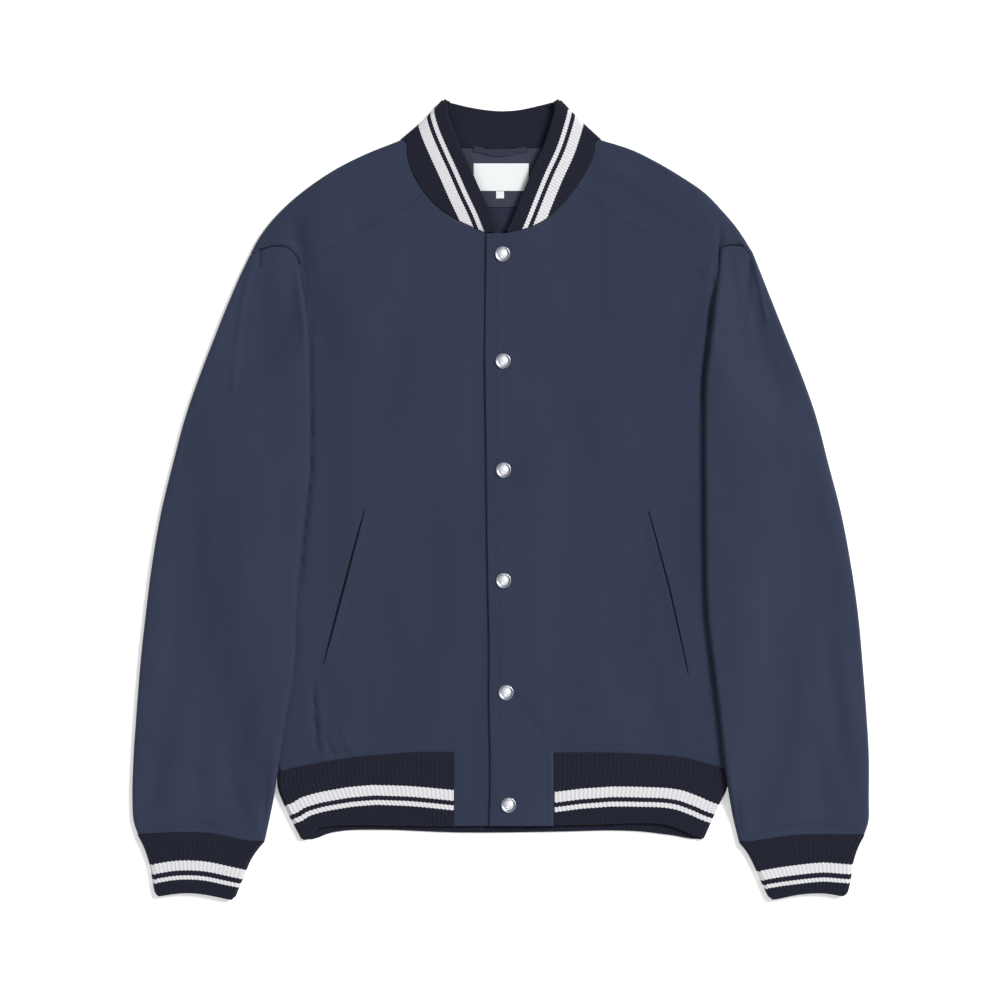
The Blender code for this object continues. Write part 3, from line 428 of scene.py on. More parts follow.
SLEEVE_CREASES = (
    (-226, 205, 84, 44, 13, 1.8),
    (-209, 205, 90, 34, 7, -1.3),
    (-237, 90, 82, 90, 16, -1.5),
    (-285, 170, 68, 50, 9, 1),
    (-300, 40, 74, 120, 16, 1.8),
    (-272, -20, 84, 90, 12, -1.1),
    (-250, -60, 92, 120, 20, 1),
    (-318, -90, 80, 110, 15, -1.4),
    (-345, -150, 84, 90, 9, 1.4),
    (-255, -200, 80, 80, 14, -1.5),
    (-288, -170, 86, 70, 10, 1),
    (-320, -240, 78, 70, 12, 1.8),
    (-346, -285, 78, 40, 7, -1.5),
    (-285, -290, 96, 42, 10, 1.6),
    (-304, -288, 90, 36, 6, -1.2),
    (-250, -300, 104, 34, 7, 1),
    (236, 195, 98, 50, 5, -1.5),
    (252, 190, 100, 60, 5, -1),
    (278, 180, 110, 60, 7, 1.6),
    (266, 150, 106, 60, 7, -1.2),
    (230, 90, 94, 110, 14, 1.6),
    (300, 80, 110, 100, 12, 1.6),
    (280, 20, 104, 110, 16, -1.6),
    (335, -40, 100, 90, 10, 1.6),
    (240, -80, 88, 110, 18, 1.2),
    (268, -150, 88, 100, 12, -1.5),
    (332, -195, 98, 76, 7, -2.2),
    (350, -200, 96, 90, 8, 1.8),
    (302, -225, 86, 70, 12, 1.8),
    (322, -290, 100, 40, 7, -1.5),
    (280, -296, 76, 42, 9, 1.5),
    (345, -300, 108, 34, 6, 1.2),
    (255, -285, 84, 50, 7, -1.1),
)
# Distances over which the creases fade out towards the body's seams, a front's hem and free edge, and a
# sleeve's seams.
CREASE_TO_SEAM = 10
CREASE_TO_EDGE = 8
SLEEVE_CREASE_TO_SEAM = 12
DEEPEST = 2.9  # a trough never sinks the cloth further, as the back lies below it
UNDER_SLEEVE = 0.3  # a ridge never lifts the body more where a sleeve lies on it
COVER_EDGE = 4  # that limit fades in over this on each side of the sleeve's edge
# Height, size and seed of the small waves of loose cloth.
BODY_WAVES = (0.35, 46, 7)
SLEEVE_WAVES = {-1: (0.4, 40, 10), 1: (0.4, 40, 12)}
# Puckers along the hem's and the cuffs' seams: reach, height, length.
HEM_PUCKERS = (24, 1, 14)
CUFF_PUCKERS = (26, 0.9, 16)
PUCKER_SEED = 21
# Narrow creases along polylines: half width, height, then the points.
LINE_FADE = 0.15  # share of a line's length over which each of its ends fades out
BODY_LINES = (
    (2.2, -2.3, (-189.6, 210), (-191, 150), (-189.6, 100), (-189.4, 30), (-196, -30), (-203, -110)),
    (6, -2.9, (-201, 288), (-205.5, 273), (-204, 262), (-200.8, 253), (-200, 240), (-200.3, 226),
     (-198.5, 208), (-195, 185)),
    (2.5, -2.9, (220.4, 286), (219.4, 270), (218.9, 258), (218, 246), (215.6, 235), (213.6, 222),
     (211.6, 205), (207.6, 165), (203.6, 120), (203, 80)),
    (2.4, 0.8, (-250, 253), (-236, 257.6), (-221, 258.6), (-208, 253)),
    (2.4, 0.8, (249, 252), (238, 260), (227, 260), (222, 264)),
    (2.3, -2.2, (-188, -180), (-186.6, -205), (-185.6, -222), (-184, -240), (-180.6, -257)),
    (2.3, -1.7, (-177.5, -234), (-173, -244), (-163, -258)),
    (3, 1, (-160, -225), (-155, -240), (-146, -256)),
    (2.3, -0.9, (60, -236), (58, -250), (57, -262)),
)
SLEEVE_LINES = (
    (1.9, -1.7, (-240.6, 254), (-241.2, 243), (-241.4, 230)),
    (2.6, 1.7, (-247, 236), (-249.5, 226), (-254.6, 211.5), (-258, 195), (-263.5, 150), (-268, 100)),
    (3.2, -1.8, (250, 254), (249.5, 245), (247.5, 220), (246, 200), (243, 170)),
    (3, 1.9, (252.5, 247), (254.5, 237.6), (258.7, 216.1), (262, 200), (268, 172)),
    (2, -1.2, (-330, -322), (-300, -324.5), (-262, -331)),
    (2, -1.2, (262, -330), (300, -325.5), (338, -325)),
)


# ---------------------------------------------------------------- helpers

def smoothstep(value):
    """0 to 1 with soft ends."""
    value = np.clip(value, 0, 1)
    return value * value * (3 - 2 * value)


def ramp(value, start, end):
    """A soft rise from 0 at start to 1 at end."""
    return smoothstep((value - start) / (end - start))


def mix(a, b, share):
    return a + (b - a) * share


def height_at(table, x):
    """Read the second column of a table at x, straight between its rows."""
    rows = np.array(sorted(table), float)
    return np.interp(x, rows[:, 0], rows[:, 1])


def reach_along(points):
    """Distance of each point of a polyline from its start."""
    gaps = np.linalg.norm(np.diff(np.array(points, float), axis=0), axis=1)
    return np.concatenate(([0], np.cumsum(gaps)))


def along(points, share):
    """The point at a share of a polyline's length."""
    reach = reach_along(points)
    return np.array([np.interp(share * reach[-1], reach, values) for values in zip(*points)])


def shares(count):
    return [index / count for index in range(count + 1)]


def creased(table, x, y):
    """Height that the soft creases of a table add."""
    total = np.zeros_like(x)
    for centre_x, centre_y, angle, half_length, half_width, height in table:
        turn = math.radians(angle)
        dx, dy = x - centre_x, y - centre_y
        run = (dx * math.cos(turn) + dy * math.sin(turn)) / half_length
        side = (dy * math.cos(turn) - dx * math.sin(turn)) / half_width
        total += height * np.exp(-run * run - side * side)
    return total


def beside(path, x, y):
    """Distance of each point to a polyline, and how far along it the nearest place is."""
    reach = reach_along(path)
    nearest, place = np.full(x.shape, np.inf), np.zeros_like(x)
    for index, ((ax, ay), (bx, by)) in enumerate(zip(path, path[1:])):
        dx, dy = bx - ax, by - ay
        share = np.clip(((x - ax) * dx + (y - ay) * dy) / (dx * dx + dy * dy), 0, 1)
        away = np.hypot(x - ax - share * dx, y - ay - share * dy)
        place = np.where(away < nearest, mix(reach[index], reach[index + 1], share), place)
        nearest = np.minimum(nearest, away)
    return nearest, place


def traced(table, x, y):
    """Height that narrow creases along polylines add. Each fades out towards both of its ends."""
    total = np.zeros_like(x)
    for half_width, height, *path in table:
        away, place = beside(path, x, y)
        length = reach_along(path)[-1]
        fade = smoothstep(np.minimum(place, length - place) / (LINE_FADE * length))
        total += height * fade * np.exp(-(away / half_width) ** 2)
    return total


def waves(x, y, size, seed):
    """Smooth uneven waves between -1 and 1, about size across."""
    flat = zip(x.ravel() / size, y.ravel() / size)
    return np.array([noise.noise(Vector((px, py, seed))) for px, py in flat]).reshape(x.shape)


def loose(x, y, height, size, seed):
    """The small unevenness of loose cloth, longer up and down than across."""
    return height * waves(x * 1.5, y * 0.7, size, seed)


# ---------------------------------------------------------------- curves through the tables

def slopes(knots, values):
    """Slope of a smooth curve at each of its knots."""
    step = np.diff(knots)[:, None]
    rise = np.diff(values, axis=0) / step
    share = step[1:] / (step[1:] + step[:-1])
    return np.concatenate((rise[:1], rise[:-1] * share + rise[1:] * (1 - share), rise[-1:]))


def curve(knots, points):
    """A smooth curve through points, with PER steps between two of them."""
    slope = slopes(knots, points)
    places = np.arange((len(points) - 1) * PER + 1) / PER
    cell = np.minimum(places.astype(int), len(points) - 2)
    t = (places - cell)[:, None]
    step = np.diff(knots)[cell][:, None]
    a, b = points[cell], points[cell + 1]
    slope_a, slope_b = slope[cell] * step, slope[cell + 1] * step
    return (a + t * slope_a + t * t * (3 * (b - a) - 2 * slope_a - slope_b)
            + t ** 3 * (2 * (a - b) + slope_a + slope_b))


def smoothed(points, corners=()):
    """A table with curved rows added between its own. It turns sharply at the rows in corners."""
    points = np.array(points, float)
    ends = [0, *corners, len(points) - 1]
    parts = [points[first:last + 1] for first, last in zip(ends, ends[1:])]
    rows = np.concatenate([points[:1]] + [curve(reach_along(part), part)[1:] for part in parts])
    return [tuple(row) for row in rows.tolist()]


def shoulder_rows():
    """The shoulder's rows, drawn finer. From the neck corner on, a flap ends at the collar's seam."""
    sides = smoothed([row[:5] for row in SHOULDER_ROWS], (TIP_ROW,))
    ends = [(None,) * 4] * TIP
    ends += smoothed([row[5:] for row in SHOULDER_ROWS[TIP_ROW:NECK_ROW + 1]])
    for right, left in zip(NECK_SEAM[-1][NECK_CORNER - 1::-1], NECK_SEAM[1][NECK_CORNER - 1::-1]):
        ends.append((right[0] - EDGE_GAP, right[1], left[0] + EDGE_GAP, left[1]))
    return [row + end for row, end in zip(sides, ends)]


# The curves that each side has for itself are kept by the side.
NECK_SEAM = {-1: smoothed(NECK_RIGHT), 1: smoothed(NECK_LEFT)}
ARMHOLE = {-1: smoothed(ARMHOLE_RIGHT, (ARMHOLE_CORNER,)), 1: smoothed(ARMHOLE_LEFT, (ARMHOLE_CORNER,))}
COLLAR_EDGE = {-1: smoothed(COLLAR_EDGE_RIGHT), 1: smoothed(COLLAR_EDGE_LEFT)}
BODY = smoothed(BODY_ROWS)
SHOULDER = shoulder_rows()
HEM_SEAM_CURVE = smoothed(HEM_SEAM)
HEM_FRONT_CURVE = smoothed(HEM_FRONT_EDGE)
HEM_BACK_CURVE = smoothed(HEM_BACK_EDGE)
COLLAR_EDGE_BACK_CURVE = smoothed(COLLAR_EDGE_BACK)


# ---------------------------------------------------------------- walls

def upper(x, y, z, thick):
    return (x, y, z), (x, y, z - thick)


def lower(x, y, z, thick):
    return (x, y, z), (x, y, z + thick)


def turned(x, upper_y, lower_y, bottom, top, outward, angle, thick):
    """A station on a side fold. angle 90 is its top and 270 its bottom; x is its outermost reach."""
    radius = (top - bottom) / 2
    turn = math.radians(angle)
    y = mix(upper_y, lower_y, min(1, (angle - 90) / 90))
    reach, rise = -math.cos(turn) * outward, math.sin(turn)
    return tuple((x - outward * radius + reach * size, y, bottom + radius + rise * size)
                 for size in (radius, radius - thick))


def folded(x, upper_y, lower_y, bottom, top, outward, thick, angles=AROUND):
    """Stations round a side fold, from its top to its bottom."""
    return [turned(x, upper_y, lower_y, bottom, top, outward, angle, thick) for angle in angles]


def moved(station, rise):
    """A station moved by rise towards the collar."""
    return np.array(station) + (0, rise, 0)


def between(knots, spacing, close):
    """Places along knots about a spacing apart, with a few more close to both ends."""
    found = [knots[0]]
    for a, b, step in zip(knots, knots[1:], np.broadcast_to(spacing, len(knots) - 1)):
        found += list(np.linspace(a, b, max(1, round((b - a) / step)) + 1)[1:])
    extra = [knots[0] + gap for gap in close] + [knots[-1] - gap for gap in close]
    return np.unique(np.round(found + extra, 3))


def refined(grid, knots, places):
    """The rows of a grid read at places between them."""
    cell = np.clip(np.searchsorted(knots, places, side="right") - 1, 0, len(knots) - 2)
    share = (places - knots[cell]) / (knots[cell + 1] - knots[cell])
    share = share.reshape(-1, *[1] * (grid.ndim - 1))
    return grid[cell] * (1 - share) + grid[cell + 1] * share


def gaps(grid, axis):
    """Distances between neighbouring points of a grid."""
    return np.linalg.norm(np.diff(grid, axis=axis), axis=2)


class Wall:
    """A fine grid of outer and inner points, made from rows of stations."""

    def __init__(self, rows, row_spacing, column_spacing, ring=False, keep=None, close=CLOSE, under=None):
        """under is the first and last column of an underside that rests, which is drawn coarser."""
        coarse = np.array(rows, float)
        self.ring = ring
        if ring:
            coarse = np.concatenate((coarse, coarse[:, :1]), axis=1)
        outer = coarse[:, :, 0]
        row_knots = self._knots(gaps(outer, 0).max(axis=1))
        column_knots = self._knots(np.median(gaps(outer, 1), axis=0))
        spacing = np.full(len(column_knots) - 1, float(column_spacing))
        if under is not None:
            spacing[under[0]:under[1]] = UNDER_SPACING
        row_places = between(row_knots, row_spacing, close)
        column_places = between(column_knots, spacing, () if ring else close)
        if ring:
            column_places = column_places[:-1]
        fine = refined(coarse, row_knots, row_places)
        fine = refined(fine.swapaxes(0, 1), column_knots, column_places).swapaxes(0, 1)
        self.outer, self.inner = fine[:, :, 0], fine[:, :, 1]
        self.across_line = column_places
        self.row_index = np.interp(row_places, row_knots, range(len(row_knots)))
        self.column_index = np.interp(column_places, column_knots, range(len(column_knots)))
        self.cells = self._cells(keep)
        self.down = self._reach(0)
        self.across = self._reach(1)
        self.stripe = np.full(self.outer.shape[:2], NO_STRIPE)
        self.cut = self._cut()

    def plan(self):
        return self.outer[:, :, 0], self.outer[:, :, 1]

    def _cut(self):
        """Width, length and area in metres of the piece laid out flat, all round on a tube."""
        beyond = np.roll(self.outer, -1, axis=1)
        wide = np.linalg.norm(beyond - self.outer, axis=2)
        long = gaps(self.outer, 0)
        diagonals = np.cross(beyond[1:] - self.outer[:-1], self.outer[1:] - beyond[:-1])
        faces = np.linalg.norm(diagonals, axis=2) / 2
        width, length, area = np.zeros(wide.shape[0]), np.zeros(long.shape[1]), 0
        # The last digits of the sums hang on the order of the faces, which is the set's.
        for face in set(zip(*np.nonzero(self.cells))):
            width[face[0]] += wide[face]
            length[face[1]] += long[face]
            area += faces[face]
        return width.max() * MM, length.max() * MM, area * MM * MM

    @staticmethod
    def _knots(steps):
        return np.concatenate(([0], np.cumsum(np.maximum(steps, 0.01))))

    def _reach(self, axis):
        """Distance of each point along its row or column."""
        return np.insert(np.cumsum(gaps(self.outer, axis), axis=axis), 0, 0, axis=axis)

    def _cells(self, keep):
        """Which faces of the grid are drawn. keep says it for a row and a column of stations."""
        row = ((self.row_index[:-1] + self.row_index[1:]) / 2).astype(int)[:, None]
        after = np.append(self.column_index[1:], self.column_index[-1] + 0.01)
        column = ((self.column_index + after) / 2).astype(int)
        if not self.ring:
            column = column[:-1]
        drawn = True if keep is None else keep(row, column)
        return np.broadcast_to(drawn, (len(row), len(column)))

    def normals(self):
        if self.ring:
            across = np.roll(self.outer, -1, axis=1) - np.roll(self.outer, 1, axis=1)
        else:
            across = np.gradient(self.outer, axis=1)
        found = np.cross(across, np.gradient(self.outer, axis=0))
        found /= np.linalg.norm(found, axis=2, keepdims=True) + 1e-9
        return found * np.sign(np.median((found * (self.outer - self.inner)).sum(axis=2)))

    def lift(self, height):
        """Move both skins straight up."""
        self.outer[:, :, 2] += height
        self.inner[:, :, 2] += height

    def facing_up(self):
        return smoothstep(self.normals()[:, :, 2] * 1.3)

    def facing_down(self):
        return self.normals()[:, :, 2] < -0.5

    def roll(self, distance, depth, reach):
        """Draw both skins together near an edge, as cloth does at a seam or a folded edge."""
        near = np.clip(1 - distance / reach, 0, 1)
        fall = depth * (1 - np.sqrt(1 - near * near))
        shift = self.normals() * fall[:, :, None]
        self.outer, self.inner = self.outer - shift, self.inner + shift

    def from_row(self, end):
        """Distance of each point to the first (0) or last (-1) row."""
        return np.abs(self.down - self.down[end])

    def from_column(self, end):
        return np.abs(self.across - self.across[:, [end]])

    def from_ends(self):
        return np.minimum(self.from_row(0), self.from_row(-1))

    def from_sides(self):
        return np.minimum(self.from_column(0), self.from_column(-1))

    def build(self, name, material, *nodes):
        """Make the object. Its outer side has UVs in metres: along the band, and away from its stripes."""
        rows, columns = self.outer.shape[:2]
        points = np.concatenate((self.outer.reshape(-1, 3), self.inner.reshape(-1, 3))) * MM + SHIFT
        half = rows * columns
        band = np.stack((np.broadcast_to(self.across_line, (rows, columns)), self.stripe), axis=2)
        band = band.reshape(-1, 2) * MM
        cells = set(map(tuple, np.argwhere(self.cells).tolist()))
        faces, uvs = [], []

        def add(ids, on_band):
            faces.append(tuple(ids))
            for index in ids:
                u, v = band[index % half]
                uvs.append((u, v if on_band else -1))

        for i, j in sorted(cells):
            after = (j + 1) % columns
            ids = [a * columns + b for a, b in ((i, j), (i, after), (i + 1, after), (i + 1, j))]
            add(ids, True)
            add([index + half for index in reversed(ids)], False)
            before, beyond = ((j - 1) % columns, after) if self.ring else (j - 1, j + 1)
            sides = ((i - 1, j), (i, beyond), (i + 1, j), (i, before))
            for neighbour, a, b in zip(sides, ids, ids[1:] + ids[:1]):
                if neighbour not in cells:
                    add((b, a, a + half, b + half), False)
        return make_object(name, points, faces, material, np.array(uvs), nodes)


def add_object(name, data):
    made = bpy.data.objects.new(name, data)
    bpy.context.scene.collection.objects.link(made)
    return made


def make_object(name, points, faces, material, uvs=None, nodes=(), sharp=50):
    """A smooth mesh object in the jacket's frame, riding on its one body."""
    used = sorted({index for face in faces for index in face})
    renumber = {old: new for new, old in enumerate(used)}
    data = bpy.data.meshes.new(name)
    data.from_pydata([tuple(points[index]) for index in used], [],
                     [tuple(renumber[index] for index in face) for face in faces])
    if uvs is not None:
        layer = data.uv_layers.new(name="bands")
        layer.data.foreach_set("uv", uvs.astype(np.float32).ravel())
    data.materials.append(material)
    made = add_object(name, data)
    if signed_volume(data) < 0:
        data.flip_normals()
    data.shade_smooth()
    data.set_sharp_from_angle(angle=math.radians(sharp))
    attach(made, "root")
    if nodes:
        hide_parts(*nodes)
    return made


def signed_volume(data):
    """The volume inside a closed mesh, negative where its faces point inwards."""
    mesh = bmesh.new()
    mesh.from_mesh(data)
    volume = mesh.calc_volume(signed=True)
    mesh.free()
    return volume


def dropped_on(*made):
    """Height in millimetres of the uppermost of some pieces, as a function of a place in plan."""
    depsgraph = bpy.context.evaluated_depsgraph_get()
    trees = [BVHTree.FromObject(piece, depsgraph) for piece in made]

    def height(x, y):
        start = Vector((x * MM, y * MM, 0.1)) + Vector((SHIFT[0], SHIFT[1], 0))
        hits = [tree.ray_cast(start, Vector((0, 0, -1)))[0] for tree in trees]
        return max((hit.z / MM for hit in hits if hit is not None), default=None)

    return height


# ---------------------------------------------------------------- body

def body_edge(side, y):
    """How far from the centre the laid body reaches at y, on one side."""
    folds = [row[FOLD[side]] for row in BODY] + [row[HEM_FOLD[side]] for row in HEM_SIDES[1:]]
    return height_at([(fold_y, abs(x)) for x, fold_y in folds], y)


def lap_shift(side, x):
    """How far a front or a collar end rises over the other one at the placket, or sinks under it."""
    return -SINK * ramp(x, *SINK_X) if side < 0 else RISE * (1 - ramp(x, *RISE_X))


def edge_stations(x, y, inward, is_upper, roundness):
    """The rounded edge of one layer, from the side seam inwards."""
    tuck = mix(TUCK_FRONT if is_upper else TUCK_BACK, TUCK, ramp(y, *TUCK_Y))
    found = []
    for angle in EDGE_ANGLES:
        turn = 180 - angle if is_upper else 180 + angle
        flat_x = x + inward * (RADIUS * (1 - math.cos(math.radians(angle))) - tuck * (1 - angle / 90))
        flat = upper(flat_x, y, THICK, CLOTH) if is_upper else lower(flat_x, y, 0, CLOTH)
        rounded = turned(x, y, y, 0, THICK, -inward, turn, CLOTH)
        found.append(mix(np.array(flat), np.array(rounded), roundness))
    return found


def lower_line(level):
    """The back panel's lower layer along one row, in plan, with both ends at the side edges."""
    right_x, right_y, middle_y, left_x, left_y = (BODY + SHOULDER)[level][:5]
    bulge = middle_y - (right_y + left_y) / 2
    line = [(right_x, right_y)]
    for share in shares(LOWER_STEPS):
        x = mix(right_x + RADIUS, left_x - RADIUS, share)
        line.append((x, mix(right_y, left_y, share) + bulge * (1 - (2 * share - 1) ** 2)))
    return line + [(left_x, left_y)]


def flap_line(side, level):
    """A shoulder flap's row in plan, from its fold to its end."""
    row = SHOULDER[level]
    (x, y), end = row[FOLD[side]], row[FLAP[side]]
    if end[0] is None:
        end = (x - side * 60, y)  # not drawn: there is no flap below the armhole's top
    return [along(((x - side * RADIUS, y), end), share) for share in FLAP_SHARES]


def arched_flap(side, level):
    """The same row, bent towards the armhole's arch. The arch fades out over the rows above it."""
    line = flap_line(side, level)
    arch = 1 - (level - TIP) / BULGE_ROWS
    if not 0 < arch <= 1:
        return line
    start = flap_line(side, TIP)
    return [place + (np.array(bent) - flat) * arch for place, bent, flat in zip(line, ARMHOLE[side], start)]


def back_row(level):
    """Stations from the right flap's end, round under the back, to the left flap's end."""
    row, shoulder = (BODY + SHOULDER)[level], level - len(BODY)
    roundness = float(shoulder >= TIP) if shoulder >= 0 else min(1, max(0, row[5]))
    sides = []
    for side in SIDES:
        x, y = row[FOLD[side]]
        flap = [upper(px, py, THICK, CLOTH) for px, py in reversed(arched_flap(side, max(shoulder, 0)))]
        fold = folded(x, y, y, 0, THICK, side, CLOTH, FOLD_ANGLES)
        sides.append(flap + fold + edge_stations(x, y, -side, False, roundness))
    low = [lower(x, y, 0, CLOTH) for x, y in lower_line(level)[1:-1]]
    return sides[0] + low + sides[1][::-1]


def body_relief(x, y):
    """Height of the creases on the fronts and the shoulder flaps. They run across the forward seams."""
    height = creased(BODY_CREASES, x, y) + loose(x, y, *BODY_WAVES)
    for seam in (*NECK_SEAM.values(), *(ARMHOLE[side][:ARCH_END] for side in SIDES)):
        height = height * smoothstep(beside(seam, x, y)[0] / CREASE_TO_SEAM)
    height = height + traced(BODY_LINES, x, y)
    for side, table in SLEEVE_ROWS.items():
        inner = np.interp(-y, [-row[3] for row in table], [abs(row[2]) for row in table])
        covered = smoothstep((x * side - inner + COVER_EDGE) / (2 * COVER_EDGE))
        covered = covered * (y < table[0][3] + COVER_EDGE)
        height = mix(height, np.minimum(height, UNDER_SLEEVE), covered)
    return np.maximum(height, -DEEPEST)


def make_back():
    rows = np.array([back_row(level) for level in range(len(BODY) + len(SHOULDER))])
    first = len(BODY) + TIP
    upper_count = len(FLAP_SHARES) + len(FOLD_ANGLES)
    last = rows.shape[1] - 2
    for columns in (slice(0, upper_count), slice(rows.shape[1] - upper_count, None)):
        rows[:first, columns] = rows[first, columns]  # not drawn: the flaps start at the armholes

    def keep(row, column):
        return (row >= first) | ((column >= upper_count) & (column <= last - upper_count))

    edge = upper_count + len(EDGE_ANGLES)
    wall = Wall(rows, *BACK_GRID, keep=keep, under=(edge, last - edge))
    up = wall.facing_up() * (wall.outer[:, :, 2] > RADIUS)
    start = int(np.argmin(np.abs(wall.row_index - first)))
    armhole = np.maximum(wall.down - wall.down[start], 0)
    wall.lift(up * body_relief(*wall.plan()))
    wall.roll(np.where(up > 0, armhole, np.inf), ARMHOLE_ROLL, ARMHOLE_ROLL_REACH)
    wall.roll(wall.from_sides(), FLAT_SEAM_ROLL, FLAT_SEAM_REACH)
    return wall.build("jacket_back", CLOTH_LOOK, "back")


def neck_y(side, x):
    """Top of a front at x, in its placket."""
    neck = NECK_SEAM[side]
    beyond = (x - neck[-1][0]) * side < 0
    return NECK_FRONT_Y if beyond else height_at(neck, x) - EDGE_GAP


def side_rows(side):
    """A front's own part of the body's rows, up to where the forward seam starts."""
    x, y = SHOULDER[TIP][FLAP[side]]
    found = [(*row[FOLD[side]], row[5]) for row in BODY]
    return [row for row in found if row[1] < y - LAST_ROW_GAP] + [(x, y - EDGE_GAP, 0)]


def front_columns(side):
    """Top and bottom point of each column of a front, from its side to the end of the hem rib."""
    placket, neck = PLACKET_X[side], NECK_SEAM[side]
    tops = [row[FLAP[side]] for row in SHOULDER[TIP:NECK]]
    tops += [point for point in neck[NECK_CORNER:] if (point[0] - placket) * side > 2]
    tops.append((placket, height_at(neck, placket)))
    corner_x = side_rows(side)[0][0]
    found = []
    for x, y in tops:
        share = (x - tops[0][0]) / (placket - tops[0][0])
        low_x = mix(corner_x, placket, share)
        low_y = height_at(HEM_SEAM_CURVE, low_x) + SEAM / 2
        found.append(((x, y - EDGE_GAP), (low_x, low_y), share))
    return found


def hem_line(side):
    """Where a front's bottom edge meets the hem rib."""
    corner_x, corner_y, _ = side_rows(side)[0]
    inner = (corner_x - side * RADIUS, corner_y)
    return [(corner_x, corner_y), inner] + [low for _, low, _ in front_columns(side)[1:]]


def front_rows(side):
    """Rows of a front, from its bottom edge to the neck, each from the side seam to the free edge."""
    edge, columns, placket = side_rows(side), front_columns(side), PLACKET_X[side]
    neck_top, hem_y = columns[-1][0][1], columns[-1][1][1]
    below = (FRONT_BOTTOM_Y, mix(FRONT_BOTTOM_Y, hem_y, 0.5))
    rows = []
    for level in range(-len(below), len(edge)):
        x_edge, y_edge, roundness = edge[max(level, 0)]
        rise = (y_edge - edge[0][1]) / (edge[-1][1] - edge[0][1])
        free_y = below[level] if level < 0 else mix(hem_y, NECK_FRONT_Y, rise)
        free_x = UNDERLAP_X if side < 0 else height_at(OPENING, free_y)
        at_placket = np.array((placket, mix(hem_y, neck_top, rise)))
        chord = mix(np.array(edge[0][:2]), np.array(edge[-1][:2]), rise)
        places = [(x_edge - side * RADIUS, y_edge)]
        for top, low, share in columns[1:]:
            across = mix(np.array((x_edge, y_edge)), at_placket, share)
            up = mix(np.array(low), np.array(top), rise)
            places.append(across + up - mix(chord, at_placket, share))
        in_placket = [mix(placket, free_x, share) for share in shares(PLACKET_STEPS)[1:]]
        places += [(x, mix(hem_y, neck_y(side, x), rise)) for x in in_placket]
        row = edge_stations(x_edge, y_edge, -side, True, min(1, max(0, roundness)))
        for x, y in places:
            row.append(upper(x, below[level] if level < 0 else y, THICK + lap_shift(side, x), CLOTH))
        near_top = smoothstep((rise - 0.9) / 0.1)  # only the last tenth bends to the forward seam
        for index in range(len(EDGE_ANGLES) + 1):
            row[index] = moved(row[index], to_seam(row[index], columns) * near_top)
        rows.append(row)
    return rows, len(below), len(EDGE_ANGLES) + len(columns) - 1


def to_seam(station, columns):
    """How far the forward seam rises from its start to a station's place."""
    seam = [top for top, _, _ in columns[:5]]
    return height_at(seam, station[0][0]) - seam[0][1]


def make_front(side):
    rows, below, placket_column = front_rows(side)

    def keep(row, column):
        return (row >= below) | (column >= placket_column)

    wall = Wall(rows, *FRONT_GRID, keep=keep)
    above_hem = np.maximum(wall.down - wall.down[int(np.argmin(np.abs(wall.row_index - below)))], 0)
    in_placket = wall.column_index >= placket_column
    hem = np.where(in_placket, wall.from_row(0), above_hem)
    flat = smoothstep(np.minimum(hem, wall.from_column(-1)) / CREASE_TO_EDGE)
    wall.lift(wall.facing_up() * flat * body_relief(*wall.plan()))
    wall.lift(wall.facing_up() * puckers(wall, hem, *HEM_PUCKERS) * ~in_placket)
    at_neck = wall.column_index > len(EDGE_ANGLES) + (NECK_ROW - TIP_ROW) * PER
    wall.roll(hem, SEAM_ROLL, HEM_ROLL_REACH)
    wall.roll(wall.from_row(-1), np.where(at_neck, SEAM_ROLL, FLAT_SEAM_ROLL), ROLL_REACH)
    wall.roll(wall.from_column(-1), OPENING_ROLL, ROLL_REACH)
    return wall.build(f"front_{SIDES[side]}_cloth", CLOTH_LOOK, f"front_{SIDES[side]}")


def puckers(wall, distance, reach, height, length):
    """Uneven puckers along a seam, gone within reach of it."""
    near = np.clip(distance / reach, 0, 1)
    fade = np.where(near < 1, near * (1 - near) * 4, 0)
    place = np.broadcast_to(wall.across_line, fade.shape)
    return height * fade * waves(place, distance * 0.4, length, PUCKER_SEED)


# ---------------------------------------------------------------- sleeves and cuffs

def sleeve_lift(side, reach, y, run=LIFT_RUN, start=LIFT_MARGIN):
    """Height of a sleeve's underside at a distance from the centre: up over the body, down outside it."""
    edge = body_edge(side, y) + start
    return LIFT * ramp(y, *LIFT_ONSET_Y) * (1 - smoothstep((reach - edge) / run))


def finer(places):
    """SLEEVE_STEPS steps in each gap between places."""
    count = (len(places) - 1) * SLEEVE_STEPS
    return list(np.interp(np.arange(count + 1) / SLEEVE_STEPS, range(len(places)), places))


def sleeve_plan(side, inner, outer, y):
    """Distances from the centre of a ring's stations, inner fold to outer fold."""
    first, last = inner + RADIUS, outer - RADIUS
    over = min(max(first + RISE_ROOM, body_edge(side, y) + LIFT_MARGIN), last - TOP_ROOM)
    down = min(over + LIFT_RUN, last - FOOT_ROOM)
    return finer([first, mix(first, over, 0.5), over, mix(over, down, THIRD), mix(over, down, TWO_THIRDS),
                  down, mix(down, last, 0.5), last])


def cuff_bow(side, share, place=0):
    """How far the cuff's line bows at a share of its width. place counts the cuff's rows."""
    bows = np.array(CUFF_BOW[side])
    lines = [np.interp(share, bows[:, 0], column) for column in bows[:, 1:].T]
    return np.interp(place, (0, CUFF_STRIPE_ROW, len(CUFF_ROWS[side]) - 1), lines)


